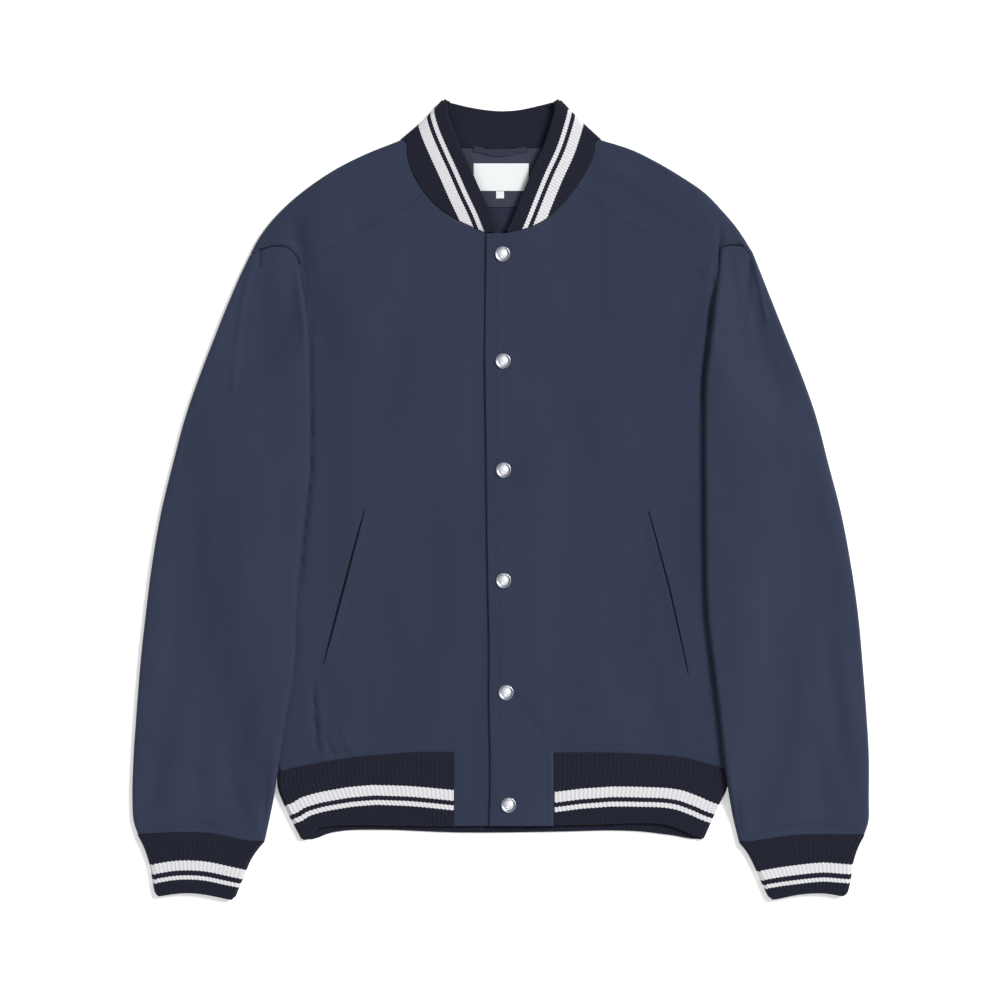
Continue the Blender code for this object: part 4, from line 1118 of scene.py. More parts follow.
def sleeve_ring(side, row):
    outer_x, outer_y, inner_x, inner_y = row
    outer, inner = abs(outer_x), abs(inner_x)
    plan = sleeve_plan(side, inner, outer, (outer_y + inner_y) / 2)
    tops, bottoms = [], []
    for reach in plan:
        share = (reach - inner) / (outer - inner)
        y = mix(inner_y, outer_y, share)
        y += cuff_bow(side, share) * ramp(y, *BOW_Y)
        lift = sleeve_lift(side, reach, y)
        soft = sleeve_lift(side, reach, y, LIFT_RUN + SOFT_RUN, LIFT_MARGIN - SOFT_START)
        hanging = smoothstep(min(reach - plan[0], plan[-1] - reach) / SOFT_EDGE)
        tops.append(upper(side * reach, y, mix(lift, max(soft, lift - LOFT + 1), hanging) + THICK, CLOTH))
        bottoms.append(lower(side * reach, y, lift, CLOTH))
    folds = []
    for reach, base, y, outward in ((inner, plan[0], inner_y, -side), (outer, plan[-1], outer_y, side)):
        lift = sleeve_lift(side, base, y)
        folds.append(folded(side * reach, y, y, lift, lift + THICK, outward, CLOTH))
    return tops + folds[1] + bottoms[::-1] + folds[0][::-1]


def sleeve_head(side):
    """The ring at the armhole seam. Its upper half arches with the seam, its lower half is straight."""
    (tip_x, tip_y), (_, corner_y) = SHOULDER[TIP][FOLD[side]], SHOULDER[0][FOLD[side]]
    inner, outer = SLEEVE_HEAD_INNER[side], abs(tip_x)
    first, last = inner + RADIUS, outer - RADIUS
    arch = [(abs(x), y) for x, y in ARMHOLE[side][:ARMHOLE_CORNER * PER + 1]]
    peak = [arch[index * PER][0] for index in (2, 1, 0)]
    arch += [(last, tip_y), (outer + 1, tip_y)]
    plan = finer([first, peak[0], mix(peak[0], peak[1], 0.5), peak[1], mix(peak[1], peak[2], THIRD),
                  mix(peak[1], peak[2], TWO_THIRDS), peak[2], last])
    tops, bottoms = [], []
    for reach in plan:
        gap = EDGE_GAP + ARCH_GAP * smoothstep((last - reach) / ARCH_GAP_RUN)
        tops.append(upper(side * reach, height_at(arch, reach) - gap, THICK, CLOTH))
        straight = mix(corner_y, tip_y, (reach - inner) / (outer - inner)) - EDGE_GAP
        bottoms.append(lower(side * reach, straight, 0, CLOTH))
    low_y = corner_y - EDGE_GAP
    in_arch = []
    for angle, station in zip(AROUND, folded(side * inner, low_y, low_y, 0, THICK, -side, CLOTH)):
        y = height_at(arch, abs(station[0][0])) - EDGE_GAP - ARCH_GAP
        y = mix(y, low_y, ramp(angle, 180, 250))
        in_arch.append(tuple((x, y, z) for x, _, z in station))
    outer_fold = folded(side * outer, tip_y - EDGE_GAP, tip_y - 3 * EDGE_GAP, 0, THICK, side, CLOTH)
    return tops + outer_fold + bottoms[::-1] + in_arch[::-1]


def make_sleeve(side):
    rows = [sleeve_head(side)] + [sleeve_ring(side, row) for row in smoothed(SLEEVE_ROWS[side])]
    wall = Wall(rows, *SLEEVE_GRID, ring=True, under=(len(rows[0]) // 2, len(rows[0]) - len(AROUND)))
    x, y = wall.plan()
    flat = smoothstep(wall.from_ends() / SLEEVE_CREASE_TO_SEAM)
    height = creased(SLEEVE_CREASES, x, y) + loose(x, y, *SLEEVE_WAVES[side])
    wall.lift(wall.facing_up() * (flat * height + traced(SLEEVE_LINES, x, y)))
    wall.lift(wall.facing_up() * puckers(wall, wall.from_row(-1), *CUFF_PUCKERS))
    wall.roll(wall.from_row(0), ARMHOLE_ROLL * (0.25 + 0.75 * wall.facing_up()), ARMHOLE_ROLL_REACH)
    wall.roll(wall.from_row(-1), SLEEVE_END_ROLL, ROLL_REACH)
    return wall.build(f"sleeve_{SIDES[side]}_cloth", SLEEVE_LOOK, f"sleeve_{SIDES[side]}")


def rib_shape(phase):
    """Rounded ribs with narrow grooves between them."""
    return (0.5 + 0.5 * np.cos(2 * math.pi * phase)) ** 0.7


def rib_band(wall, pitch, relief, step=STRIPE_STEP, inside=True):
    """Raise a band's ribs, let its stripes step up and down with them, and finish its two edges."""
    phase = wall.across_line / pitch
    height = np.broadcast_to(rib_shape(phase) * relief, wall.stripe.shape)
    resting = (wall.outer[:, :, 2] < 0.5) & wall.facing_down()
    wall.outer = wall.outer + wall.normals() * np.where(resting, 0, height)[:, :, None]
    wall.stripe = wall.stripe + step * np.cos(2 * math.pi * phase)
    if inside:
        wall.inner[:, :, 2] += np.where(wall.facing_down(), height, 0)
    wall.roll(wall.from_row(-1), RIB / 2, RIB / 2)
    wall.roll(wall.from_row(0), BAND_ROLL, ROLL_REACH)


def cuff_corner(level, distance):
    """How far a cuff's free edge is rounded off at a distance from its fold."""
    return CUFF_CORNER * level ** 4 * max(1 - distance / CUFF_CORNER_REACH, 0) ** 2


def make_cuff(side):
    rows = []
    table = smoothed(CUFF_ROWS[side])
    for index, (outer_x, outer_y, inner_x, inner_y) in enumerate(table):
        level = index / (len(table) - 1)
        outer, inner = abs(outer_x), abs(inner_x)
        tops, bottoms, folds = [], [], []
        for reach in np.linspace(inner + RADIUS, outer - RADIUS, CUFF_STATIONS):
            share = (reach - inner) / (outer - inner)
            y = mix(inner_y, outer_y, share)
            y += cuff_bow(side, share, index / PER) + cuff_corner(level, min(reach - inner, outer - reach))
            tops.append(upper(side * reach, y, THICK, RIB))
            bottoms.append(lower(side * reach, y, 0, RIB))
        for reach, y, outward in ((inner, inner_y, -side), (outer, outer_y, side)):
            fold = folded(side * reach, y, y, 0, THICK, outward, RIB)
            folds.append([moved(station, cuff_corner(level, abs(station[0][0] - side * reach)))
                          for station in fold])
        rows.append(tops + folds[1] + bottoms[::-1] + folds[0][::-1])
    wall = Wall(rows, CUFF_SPACING, CUFF_PITCH / RIB_COLUMNS, ring=True)
    stripe_row = int(np.argmin(np.abs(wall.row_index - CUFF_STRIPE_ROW * PER)))
    wall.stripe = wall.down - wall.down[stripe_row]
    rib_band(wall, CUFF_PITCH, RIB_RELIEF, inside=False)
    node = f"cuff_{SIDES[side]}"
    return wall.build(f"{node}_knit", rib_look(f"knit_{node}", CUFF_STRIPES), node)


# ---------------------------------------------------------------- hem rib and collar

def band_rows(rows, knots):
    """A band's few rows of stations with curved rows between them."""
    rows = np.array(rows, float)
    curved = curve(np.array(knots, float), rows.reshape(len(rows), -1))
    return curved.reshape(-1, *rows.shape[1:])


def make_hem():
    """One band from the right front's placket round the back to the left front's."""
    rows = []
    for level, *folds in HEM_SIDES:
        halves = []
        for side, (x, upper_y, lower_y) in zip(SIDES, (folds[:3], folds[3:])):
            end = PLACKET_X[side] + side * SEAM
            seam_line = hem_line(side)
            front = []
            for share in shares(HEM_FRONT_STEPS):
                px = mix(x - side * RADIUS, end, share)
                py = mix(height_at(seam_line, px) - EDGE_GAP, height_at(HEM_FRONT_CURVE, px), level)
                if level > 0:
                    py = mix(upper_y, py, smoothstep(share * HEM_FRONT_BEND))
                front.append(upper(px, py, THICK, RIB))
            halves.append(front[::-1] + folded(x, upper_y, lower_y, 0, THICK, side, RIB))
        back = []
        for share in shares(HEM_BACK_STEPS):
            px = mix(folds[0] + RADIUS, folds[3] - RADIUS, share)
            py = mix(height_at(lower_line(0), px) - EDGE_GAP, height_at(HEM_BACK_CURVE, px), level)
            near = smoothstep(min(share, 1 - share) * HEM_BACK_BEND)
            back.append(lower(px, mix(folds[2 if share < 0.5 else 5], py, near), 0, RIB))
        rows.append(halves[0] + back + halves[1][::-1])
    wall = Wall(band_rows(rows, [row[0] for row in HEM_SIDES]), HEM_SPACING, HEM_PITCH / RIB_COLUMNS)
    wall.stripe = wall.down - wall.down[-1:] * height_at(HEM_STRIPE_LINE, wall.outer[0, :, 0])
    rib_band(wall, HEM_PITCH, RIB_RELIEF)
    wall.roll(wall.from_sides(), HEM_END_ROLL, ROLL_REACH)
    return wall.build("knit_hem", rib_look("knit_hem", HEM_STRIPES), "hem_rib")


def back_neck(x):
    """The back neck seam, the back panel's last row."""
    return height_at(lower_line(-1), x)


def collar_front(side, level, x, y, radius, top_z):
    """One row of a collar front, from the side fold to the centre front."""
    seam_x, seam_y = COLLAR_SIDES[0][0:2] if side < 0 else COLLAR_SIDES[0][2:4]
    seam_radius = (COLLAR_SIDES[0][4] - COLLAR_SIDES[0][5]) / 2
    seam = [(seam_x - side * seam_radius, seam_y)] + NECK_SEAM[side]
    row = []
    for share in shares(COLLAR_STEPS):
        px, py = mix(along(seam, share ** COLLAR_CROWDING), along(COLLAR_EDGE[side], share), level / 2)
        if level > 0:
            near = smoothstep(share * COLLAR_BEND)
            px, py = mix(x - side * radius, px, near), mix(y, py, near)
        shift = lap_shift(side, px) * smoothstep(share * 2 - 1)
        row.append(upper(px, py, top_z - COLLAR_END_DROP[level] * share + shift, RIB))
    return row


def slanted(fold, front_y, back_y):
    """A side fold whose y falls from its outermost point to front_y at its top, back_y at its bottom."""
    found = []
    for angle, station in zip(AROUND, fold):
        end_y, share = front_y if angle < 180 else back_y, abs(angle - 180) / 90
        found.append(tuple((x, mix(y, end_y, share), z) for x, y, z in station))
    return found


def make_collar():
    """One band from the right centre front, round the back neck, to the left centre front."""
    rows = []
    for level, (right_x, right_y, left_x, left_y, top_z, bottom_z) in enumerate(COLLAR_SIDES):
        radius = (top_z - bottom_z) / 2
        back, halves = [], []
        for share in shares(COLLAR_STEPS):
            px = mix(right_x + radius, left_x - radius, share)
            py = mix(back_neck(px) + EDGE_GAP, height_at(COLLAR_EDGE_BACK_CURVE, px), level / 2)
            back.append(lower(px, py, bottom_z, RIB))
        for side, x, y, end in ((-1, right_x, right_y, back[0]), (1, left_x, left_y, back[-1])):
            front_y = y - COLLAR_TIP_DROP * level / 2
            back_y = end[0][1] if level > 0 else y
            fold = slanted(folded(x, y, y, bottom_z, top_z, side, RIB), front_y, back_y)
            halves.append(collar_front(side, level, x, front_y, radius, top_z)[::-1] + fold)
        rows.append(halves[0] + back + halves[1][::-1])
    wall = Wall(band_rows(rows, range(len(rows))), COLLAR_SPACING, COLLAR_PITCH / RIB_COLUMNS)
    first = len(halves[0])
    at_back = (wall.column_index >= first) & (wall.column_index < first + len(back))
    wall.stripe = from_free_edge(wall, at_back)
    rib_band(wall, COLLAR_PITCH, COLLAR_RELIEF, STRIPE_STEP * 0.8)
    return wall.build("knit_collar", rib_look("knit_collar", COLLAR_STRIPES), "collar")


def from_free_edge(wall, at_back):
    """Each point's distance to the free edge, the last row. The back is measured to its own edge."""
    found = np.zeros(wall.outer.shape[:2])
    for columns, allowed in ((~at_back, slice(None)), (at_back, at_back)):
        edge = wall.outer[-1][allowed]
        for index, row in enumerate(wall.outer):
            found[index, columns] = np.linalg.norm(row[columns][:, None] - edge[None], axis=2).min(axis=1)
    return found


# ---------------------------------------------------------------- inside the neck

def facing_edge(x):
    """The facing's lower edge."""
    return FACING_LOW_Y + FACING_RISE * (x / FACING_HALF) ** 2


def flat_wall(left, right, low, high, counts, base, thick, spacing, ripple, **settings):
    """A thin wall that lies on the back between two edges, its upper side a little uneven."""
    rows = []
    for level in shares(counts[0]):
        places = [mix(left, right, share) for share in shares(counts[1])]
        rows.append([lower(x, mix(low(x), high(x), level), base, thick) for x in places])
    wall = Wall(rows, spacing, spacing, **settings)
    height, size, seed = ripple
    wall.inner[:, :, 2] += height * waves(*wall.plan(), size, seed)
    return wall


def make_neck_facing():
    wall = flat_wall(-FACING_HALF, FACING_HALF, facing_edge, lambda x: back_neck(x) - SEAM - FACING_GAP,
                     (3, 24), CLOTH + SEAM, TAPE_THICK, 3, (0.15, 18, 5))
    # Its cloth is painted lighter than the body's, against the shade inside the neck.
    return wall.build("facing_cloth", FACING_LIGHTENED_LOOK, "neck_facing")


def make_lining():
    wall = flat_wall(-LINING_HALF, LINING_HALF, lambda x: LINING_LOW_Y, lambda x: facing_edge(x) - 2 * SEAM,
                     (2, 24), CLOTH + SEAM, TAPE_THICK, 3, (0.35, 16, 9))
    return wall.build("lining_cloth", LINING_LOOK, "lining")


def make_patch(name, box, node):
    """A small woven label with rounded edges, bare."""
    x0, x1, y0, y1 = box
    wall = flat_wall(x0, x1, lambda x: y0, lambda x: y1, (2, 4), CLOTH + 2 * SEAM + TAPE_THICK,
                     LABEL_THICK, 2, (0.12, 14, 2), close=(0.2, 0.5))
    wall.roll(np.minimum(wall.from_ends(), wall.from_sides()), LABEL_THICK * 0.45, 0.5)
    return wall.build(name, LABEL_LOOK, node)


def direction(path, index):
    """Which way a path runs at one of its points."""
    ahead, behind = path[min(index + 1, len(path) - 1)], path[max(index - 1, 0)]
    return Vector((ahead[0] - behind[0], ahead[1] - behind[1])).normalized()


def offset_point(path, index, distance):
    """A point of a path moved sideways, to the path's right."""
    (x, y), run = path[index], direction(path, index)
    return x + run.y * distance, y - run.x * distance


def strip_rows(path, count, width, skins):
    """Rows of a strip to a path's right. width and skins give its width and its two heights at a place."""
    rows = []
    for index in range(len(path)):
        row = []
        for share in shares(count):
            px, py = offset_point(path, index, width(index) * share)
            top, base = skins(index, share, px, py)
            row.append(((px, py, top), (px, py, base)))
        rows.append(row)
    return rows


def make_loop():
    def skins(index, share, x, y):
        base = CLOTH + SEAM + TAPE_THICK + SEAM
        return base + TAPE_THICK + LOOP_CROWN * (1 - (2 * share - 1) ** 2), base

    rows = strip_rows(smoothed(LOOP_PATH), 8, lambda index: LOOP_WIDTH, skins)
    return Wall(rows, 1.5, 0.8, close=(0.3,)).build("loop_tape", LOOP_LOOK, "hanging_loop")


# ---------------------------------------------------------------- pockets, studs and stitches

def make_welt(name, path, front, node):
    """A narrow welt, thick at its folded edge along the pocket's mouth and flush at its far edge."""
    height = dropped_on(front)
    line = [along(path, share) for share in shares(POCKET_STEPS)]

    def skins(index, share, x, y):
        base = height(x, y) + WELT_SINK
        ends = smoothstep(min(index, POCKET_STEPS - index) / WELT_END)
        return base + WELT_EDGE + WELT_SWELL * ends * (1 - smoothstep(share)), base

    wall = Wall(strip_rows(line, 10, lambda index: WELT_WIDTH, skins), 2.5, 0.9, close=(0.3, 0.7))
    wall.roll(wall.from_column(0), WELT_SWELL * 0.5, 0.9)
    return wall.build(name, CLOTH_LOOK, node)


def make_mouth_shade(name, path, front):
    """A near-black sheet beside a welt's folded edge, painted shade for the shadow in the pocket's mouth."""
    height = dropped_on(front)
    line = [along(path, share) for share in shares(POCKET_STEPS)]

    def width(index):
        return -mix(MOUTH_END, MOUTH_WIDTH, math.sin(math.pi * index / POCKET_STEPS) ** 0.5)

    def skins(index, share, x, y):
        base = height(x, y)
        return base + MOUTH_TOP, base + WELT_SINK

    return Wall(strip_rows(line, 2, width, skins), 3, 0.5, close=()).build(name, MOUTH_SHADE_LOOK)


def make_stud(index, x, y, height):
    """A turned press-stud cap: a rolled rim round a low dome."""
    base = height(x, y) + SEAM
    points, faces = [], []
    for radius, z in STUD_PROFILE:
        for k in range(STUD_SIDES):
            turn = 2 * math.pi * k / STUD_SIDES
            place = np.array((x + radius * math.cos(turn), y + radius * math.sin(turn), base + z))
            points.append(place * MM + SHIFT)
    for ring in range(len(STUD_PROFILE) - 1):
        for k in range(STUD_SIDES):
            a, b = ring * STUD_SIDES + k, ring * STUD_SIDES + (k + 1) % STUD_SIDES
            faces.append((a, b, b + STUD_SIDES, a + STUD_SIDES))
    faces.append(tuple(reversed(range(STUD_SIDES))))
    faces.append(tuple(range(len(points) - STUD_SIDES, len(points))))
    made = make_object(f"stud_{index + 1}", points, faces, RIM_LOOK, nodes=(f"snap_{index + 1}",), sharp=60)
    # The dome's faces take the near-white cap look, a painted highlight.
    made.data.materials.append(CAP_HIGHLIGHT_LOOK)
    for face in made.data.polygons:
        if face.index // STUD_SIDES >= STUD_RIM and face.index != len(faces) - 2:
            face.material_index = 1
    return made


def make_stitches(name, paths, height, material):
    """Rows of short thread stitches sunk a little into the cloth."""
    points, faces = [], []
    for path in paths:
        length = reach_along(path)[-1]
        for index in range(int(length / STITCH_PITCH)):
            middle, half = (index + 0.5) * STITCH_PITCH / length, STITCH_LENGTH / 2 / length
            a, b = along(path, max(0, middle - half)), along(path, min(1, middle + half))
            za, zb = height(*a), height(*b)
            if za is not None and zb is not None:
                add_stitch(points, faces, Vector((*a, za)), Vector((*b, zb)))
    return make_object(name, points, faces, material, sharp=180)


def add_stitch(points, faces, start, end):
    """A spindle from start to end: two sunk tips and a raised waist of four points."""
    run = (end - start).normalized()
    side = Vector((run.y, -run.x, 0)) * (STITCH_WIDTH / 2)
    centre, up = (start + end) / 2, Vector((0, 0, STITCH_HEIGHT))
    first = len(points)
    for place in (start - up / 2, centre + side, centre + up, centre - side, centre - up, end - up / 2):
        points.append(np.array(place) * MM + SHIFT)
    for k in range(4):
        after = first + 1 + (k + 1) % 4
        faces.append((first, first + 1 + k, after))
        faces.append((first + 5, after, first + 1 + k))


# ---------------------------------------------------------------- materials

class Look:
    """A material with its nodes at hand."""

    def __init__(self, name, colour, roughness, metallic=0, sheen=0):
        self.material = bpy.data.materials.new(name)
        self.material.use_nodes = True
        self.tree = self.material.node_tree
        self.shader = self.tree.nodes["Principled BSDF"]
        self.set("Base Color", (*colour, 1))
        self.set("Roughness", roughness)
        self.set("Metallic", metallic)
        self.set("Sheen Weight", sheen)

    def set(self, socket, value):
        self.shader.inputs[socket].default_value = value

    def node(self, kind, **settings):
        made = self.tree.nodes.new(kind)
        for key, value in settings.items():
            setattr(made, key, value)
        return made

    def link(self, out, into):
        self.tree.links.new(out, into)

    def math(self, operation, a, b=None, c=None):
        made = self.node("ShaderNodeMath", operation=operation)
        for socket, value in zip(made.inputs, (a, b, c)):
            if value is None:
                continue
            if isinstance(value, float):
                socket.default_value = value
            else:
                self.link(value, socket)
        return made.outputs[0]

    def blend(self, share, first, second):
        made = self.node("ShaderNodeMix", data_type="RGBA")
        for socket, value in ((made.inputs[0], share), (made.inputs[6], first), (made.inputs[7], second)):
            if isinstance(value, tuple):
                socket.default_value = (*value, 1)
            else:
                self.link(value, socket)
        return made.outputs[2]

    def noise(self, scale, detail=2, stretch=(1, 1, 1)):
        """Noise over the object's own metres."""
        place = self.node("ShaderNodeTexCoord")
        mapping = self.node("ShaderNodeMapping")
        mapping.inputs["Scale"].default_value = stretch
        made = self.node("ShaderNodeTexNoise")
        made.inputs["Scale"].default_value = scale
        made.inputs["Detail"].default_value = detail
        self.link(place.outputs["Object"], mapping.inputs["Vector"])
        self.link(mapping.outputs[0], made.inputs["Vector"])
        return made.outputs["Fac"]

    def bump(self, height, distance, strength=1):
        made = self.node("ShaderNodeBump")
        made.inputs["Distance"].default_value = distance
        made.inputs["Strength"].default_value = strength
        self.link(height, made.inputs["Height"])
        self.link(made.outputs[0], self.shader.inputs["Normal"])


def weave(look, pitch):
    """Height of a fine plain weave: two crossed waves over the object's own metres."""
    place = look.node("ShaderNodeTexCoord")
    parts = look.node("ShaderNodeSeparateXYZ")
    look.link(place.outputs["Object"], parts.inputs[0])
    turn = 2 * math.pi / (pitch * MM)
    warp = look.math("SINE", look.math("MULTIPLY", parts.outputs[0], turn))
    weft = look.math("SINE", look.math("MULTIPLY", parts.outputs[1], turn))
    return look.math("MULTIPLY", warp, weft)


def cloth_look(name, colour, light, roughness=0.82, pitch=0.9):
    """Matt woven cloth with a little nap and uneven dye."""
    look = Look(name, colour, roughness, sheen=0.06)
    look.set("Sheen Roughness", 0.5)
    look.set("Specular IOR Level", 0.2)
    streaks = look.noise(26, 3, (1, 0.3, 1))
    mottle = look.math("ADD", streaks, look.math("MULTIPLY", look.noise(900.0, 1.0), 0.35))
    share = look.math("MULTIPLY", look.math("SUBTRACT", mottle, 0.30), 0.9)
    look.link(look.blend(share, colour, light), look.shader.inputs["Base Color"])
    fibre = look.math("MULTIPLY_ADD", look.noise(1500.0, 2.0), 0.8, weave(look, pitch))
    look.bump(fibre, 0.00012, 0.6)
    return look.material


def rib_look(name, stripes):
    """Dark rib knit, with off-white stripes along the band. UV y is the distance from the stripe line."""
    look = Look(name, RIB_COLOUR, 0.9, sheen=0.05)
    look.set("Specular IOR Level", 0.15)
    place = look.node("ShaderNodeUVMap", uv_map="bands")
    parts = look.node("ShaderNodeSeparateXYZ")
    look.link(place.outputs[0], parts.inputs[0])
    across, down = parts.outputs[0], parts.outputs[1]
    striped = None
    for middle, width in stripes:
        away = look.math("ABSOLUTE", look.math("SUBTRACT", down, middle * MM))
        inside = look.math("LESS_THAN", away, width / 2.0 * MM)
        striped = inside if striped is None else look.math("MAXIMUM", striped, inside)
    knit = look.math("SINE", look.math("MULTIPLY", down, 2.0 * math.pi / (1.3 * MM)))
    fibre = look.noise(1100, 2)
    dark = look.blend(fibre, RIB_COLOUR, RIB_LIGHT)
    pale = look.blend(fibre, STRIPE_SHADE, STRIPE_COLOUR)
    look.link(look.blend(striped, dark, pale), look.shader.inputs["Base Color"])
    look.bump(look.math("MULTIPLY_ADD", fibre, 1.5, knit), 0.00016, 0.7)
    return look.material


def plain_look(name, colour, light, roughness, scale=500, metallic=0, depth=0.00005):
    look = Look(name, colour, roughness, metallic)
    look.set("Specular IOR Level", 0.5 if metallic > 0 else 0.15)
    fibre = look.noise(scale, 2)
    look.link(look.blend(fibre, colour, light), look.shader.inputs["Base Color"])
    look.bump(fibre, depth, 0.5)
    return look.material


RIB_COLOUR = (0.0075, 0.0085, 0.0185)
RIB_LIGHT = (0.0150, 0.0165, 0.0300)
STRIPE_COLOUR = (0.74, 0.74, 0.76)
STRIPE_SHADE = (0.62, 0.62, 0.65)
CLOTH_LOOK = cloth_look("navy_cloth", (0.0212, 0.0285, 0.0585), (0.0315, 0.0400, 0.0750))
SLEEVE_LOOK = cloth_look("navy_sleeve_cloth", (0.0224, 0.0308, 0.0618), (0.0332, 0.0430, 0.0790))
# Painted light: the facing is the body's navy cloth made lighter against the shade inside the neck, and a
# little less blue.
FACING_LIGHTENED_LOOK = cloth_look("navy_facing_lightened", (0.0330, 0.0385, 0.0630), (0.0450, 0.0505, 0.0770))
LOOP_LOOK = cloth_look("navy_loop", (0.0225, 0.0280, 0.0500), (0.0310, 0.0370, 0.0640))
LINING_LOOK = plain_look("lining_satin", (0.0130, 0.0145, 0.0330), (0.0200, 0.0215, 0.0440), 0.45)
LABEL_LOOK = plain_look("label_weave", (0.70, 0.73, 0.73), (0.80, 0.82, 0.82), 0.7, 1400)
THREAD_LOOK = plain_look("thread", (0.0070, 0.0090, 0.0220), (0.0150, 0.0190, 0.0400), 0.7, 900)
LABEL_THREAD_LOOK = plain_look("label_thread", (0.55, 0.56, 0.58), (0.70, 0.71, 0.72), 0.6, 900)
# Painted shade: near-black strips laid in the pockets' mouths stand for the shadow there.
MOUTH_SHADE_LOOK = plain_look("pocket_mouth_painted_shade", (0.0010, 0.0012, 0.0040), (0.0030, 0.0035, 0.0080), 0.9)
RIM_LOOK = plain_look("stud_rim_metal", (0.30, 0.32, 0.36), (0.42, 0.44, 0.48), 0.32, 220, 0.9, 0.00001)
# Painted highlight: the stud's dome gets a near-white copy of its metal for the glint on it.
CAP_HIGHLIGHT_LOOK = plain_look("stud_cap_painted_highlight", (0.80, 0.82, 0.88), (0.88, 0.90, 0.93), 0.40, 220, 0.5, 0.00001)

# ---------------------------------------------------------------- assembly

label_low, label_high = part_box("label")
label_middle = np.array((label_low + label_high) / 2)
SHIFT = np.array((label_middle[0] - (LABEL[0] + LABEL[1]) / 2 * MM,
                  label_middle[1] - (LABEL[2] + LABEL[3]) / 2 * MM, 0))

back = make_back()
front_right, front_left = [make_front(side) for side in SIDES]
sleeve_right, sleeve_left = [make_sleeve(side) for side in SIDES]
cuff_right, cuff_left = [make_cuff(side) for side in SIDES]
hem = make_hem()
collar = make_collar()
facing = make_neck_facing()
lining = make_lining()
label = make_patch("neck_label", LABEL, "label")
size_tab = make_patch("neck_size_tab", SIZE_TAB, "size_tab")
loop = make_loop()
welt_right = make_welt("welt_right_cloth", POCKET_RIGHT, front_right, "pocket_welt_right")
welt_left = make_welt("welt_left_cloth", POCKET_LEFT, front_left, "pocket_welt_left")
# Strips of painted shade in the pockets' mouths.
mouth_shade_right = make_mouth_shade("pocket_mouth_right", POCKET_RIGHT, front_right)
mouth_shade_left = make_mouth_shade("pocket_mouth_left", POCKET_LEFT, front_left)
on_front = dropped_on(front_left)
for snap, (snap_x, snap_y) in enumerate(SNAPS):
    make_stud(snap, snap_x, snap_y, on_front)


def seam_paths():
    """Topstitch lines on the fronts and shoulders, in plan."""
    paths = []
    for side in SIDES:
        forward = [row[FLAP[side]] for row in SHOULDER[TIP:NECK + 1]]
        neck = NECK_SEAM[side][2 * PER:]
        placket_x = PLACKET_X[side] - side * PLACKET_STITCH
        paths.append([offset_point(forward, index, -side * SHOULDER_STITCH) for index in range(len(forward))])
        paths.append([offset_point(neck, index, side * NECK_STITCH) for index in range(len(neck))])
        paths.append([(x, y + HEM_STITCH) for x, y in hem_line(side)[1:]])
        paths.append([(placket_x, FRONT_BOTTOM_Y + 2), (placket_x, PLACKET_STITCH_Y)])
    paths.append([(x + OPENING_STITCH, y - 3) for y, x in OPENING[:-1]])
    return paths


def cuff_path(side):
    """The topstitch line above a cuff, in plan."""
    outer_x, outer_y, inner_x, inner_y = SLEEVE_ROWS[side][-1]
    path = []
    for share in shares(24)[1:-1]:
        y = mix(inner_y, outer_y, share) + cuff_bow(side, share) + CUFF_STITCH[side]
        path.append((mix(inner_x, outer_x, share), y))
    return path


def label_paths():
    x0, x1, y0, y1 = LABEL
    dx, dy = LABEL_STITCH
    return [[(x, y0 + dy), (x, y1 - dy)] for x in (x0 + dx, x1 - dx)]


on_body = dropped_on(front_right, front_left, back)
body_stitches = make_stitches("topstitching", seam_paths(), on_body, THREAD_LOOK)
sleeve_stitches = make_stitches("cuff_topstitching", [cuff_path(side) for side in SIDES],
                                dropped_on(sleeve_right, sleeve_left), THREAD_LOOK)
label_stitches = make_stitches("label_stitching", label_paths(), dropped_on(label), LABEL_THREAD_LOOK)

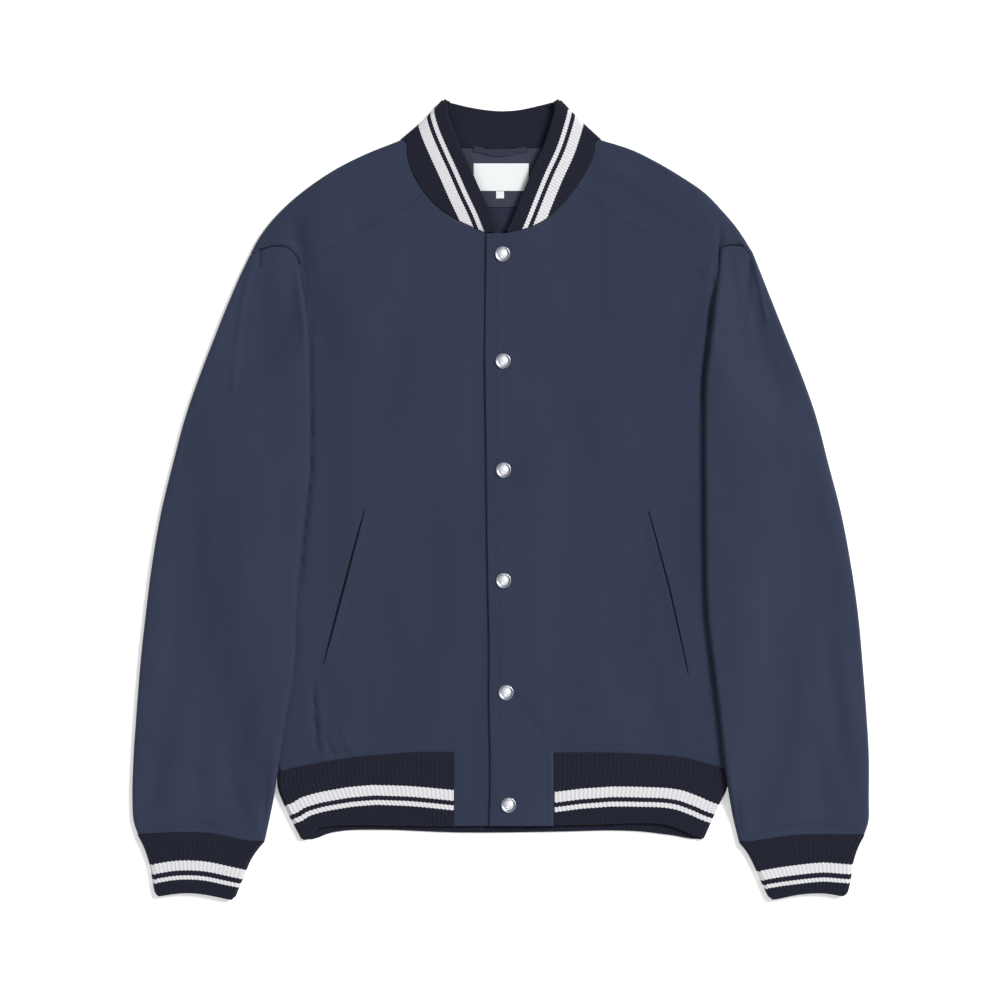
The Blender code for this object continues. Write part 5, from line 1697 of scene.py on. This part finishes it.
# Each piece of cloth with the ones that it lies on and the small ones that are sewn to it.
LAID = (
    (back, ["floor"], []),
    (front_right, [back], [welt_right, mouth_shade_right]),
    (front_left, [back, front_right], [welt_left, mouth_shade_left, body_stitches]),
    (sleeve_right, ["floor", front_right], []),
    (sleeve_left, ["floor", front_left], [sleeve_stitches]),
    (cuff_right, ["floor"], []),
    (cuff_left, ["floor"], []),
    (hem, ["floor", back], []),
    (collar, ["floor", back], []),
    (facing, [back], [loop]),
    (lining, [back], []),
    (label, [facing], [size_tab, label_stitches]),
)

# ---------------------------------------------------------------- stage

def make_camera():
    data = bpy.data.cameras.new("camera")
    data.lens = LENS
    data.sensor_width = SENSOR
    data.clip_start, data.clip_end = 0.1, 50
    camera = add_object("camera", data)
    x, y = FRAME_MIDDLE
    distance = VIEW_SPAN * MM * LENS / SENSOR
    camera.location = (x * MM + SHIFT[0], y * MM + SHIFT[1], distance + THICK * MM)
    bpy.context.scene.camera = camera


def make_floor():
    data = bpy.data.meshes.new("floor")
    corners = [(x * FLOOR_HALF, y * FLOOR_HALF, FLOOR_Z) for x, y in ((-1, -1), (1, -1), (1, 1), (-1, 1))]
    data.from_pydata(corners, [], [(0, 1, 2, 3)])
    look = Look("pale_floor", (0.96, 0.96, 0.96), 0.9)
    look.set("Emission Color", (1, 1, 1, 1))
    look.set("Emission Strength", 0.3)
    data.materials.append(look.material)
    floor = add_object("floor", data)


def make_light(name, place, size, power):
    data = bpy.data.lights.new(name, "AREA")
    data.shape = "DISK"
    data.size = size
    data.energy = power
    light = add_object(name, data)
    light.location = place
    light.rotation_euler = (-Vector(place)).to_track_quat("-Z", "Y").to_euler()


def make_world(strength):
    world = bpy.data.worlds.new("studio")
    world.use_nodes = True
    background = world.node_tree.nodes["Background"]
    background.inputs["Color"].default_value = (1, 1, 1, 1)
    background.inputs["Strength"].default_value = strength
    bpy.context.scene.world = world


make_camera()
make_floor()
make_light("key", (6.4, 4.4, 9.2), size=4.6, power=1420)
make_light("fill", (-2, -8, 9), size=6, power=300)
make_world(strength=0.33)
bpy.context.scene.view_settings.view_transform = "Standard"

for piece, below, sewn_on in LAID:
    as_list(below)
    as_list(sewn_on)
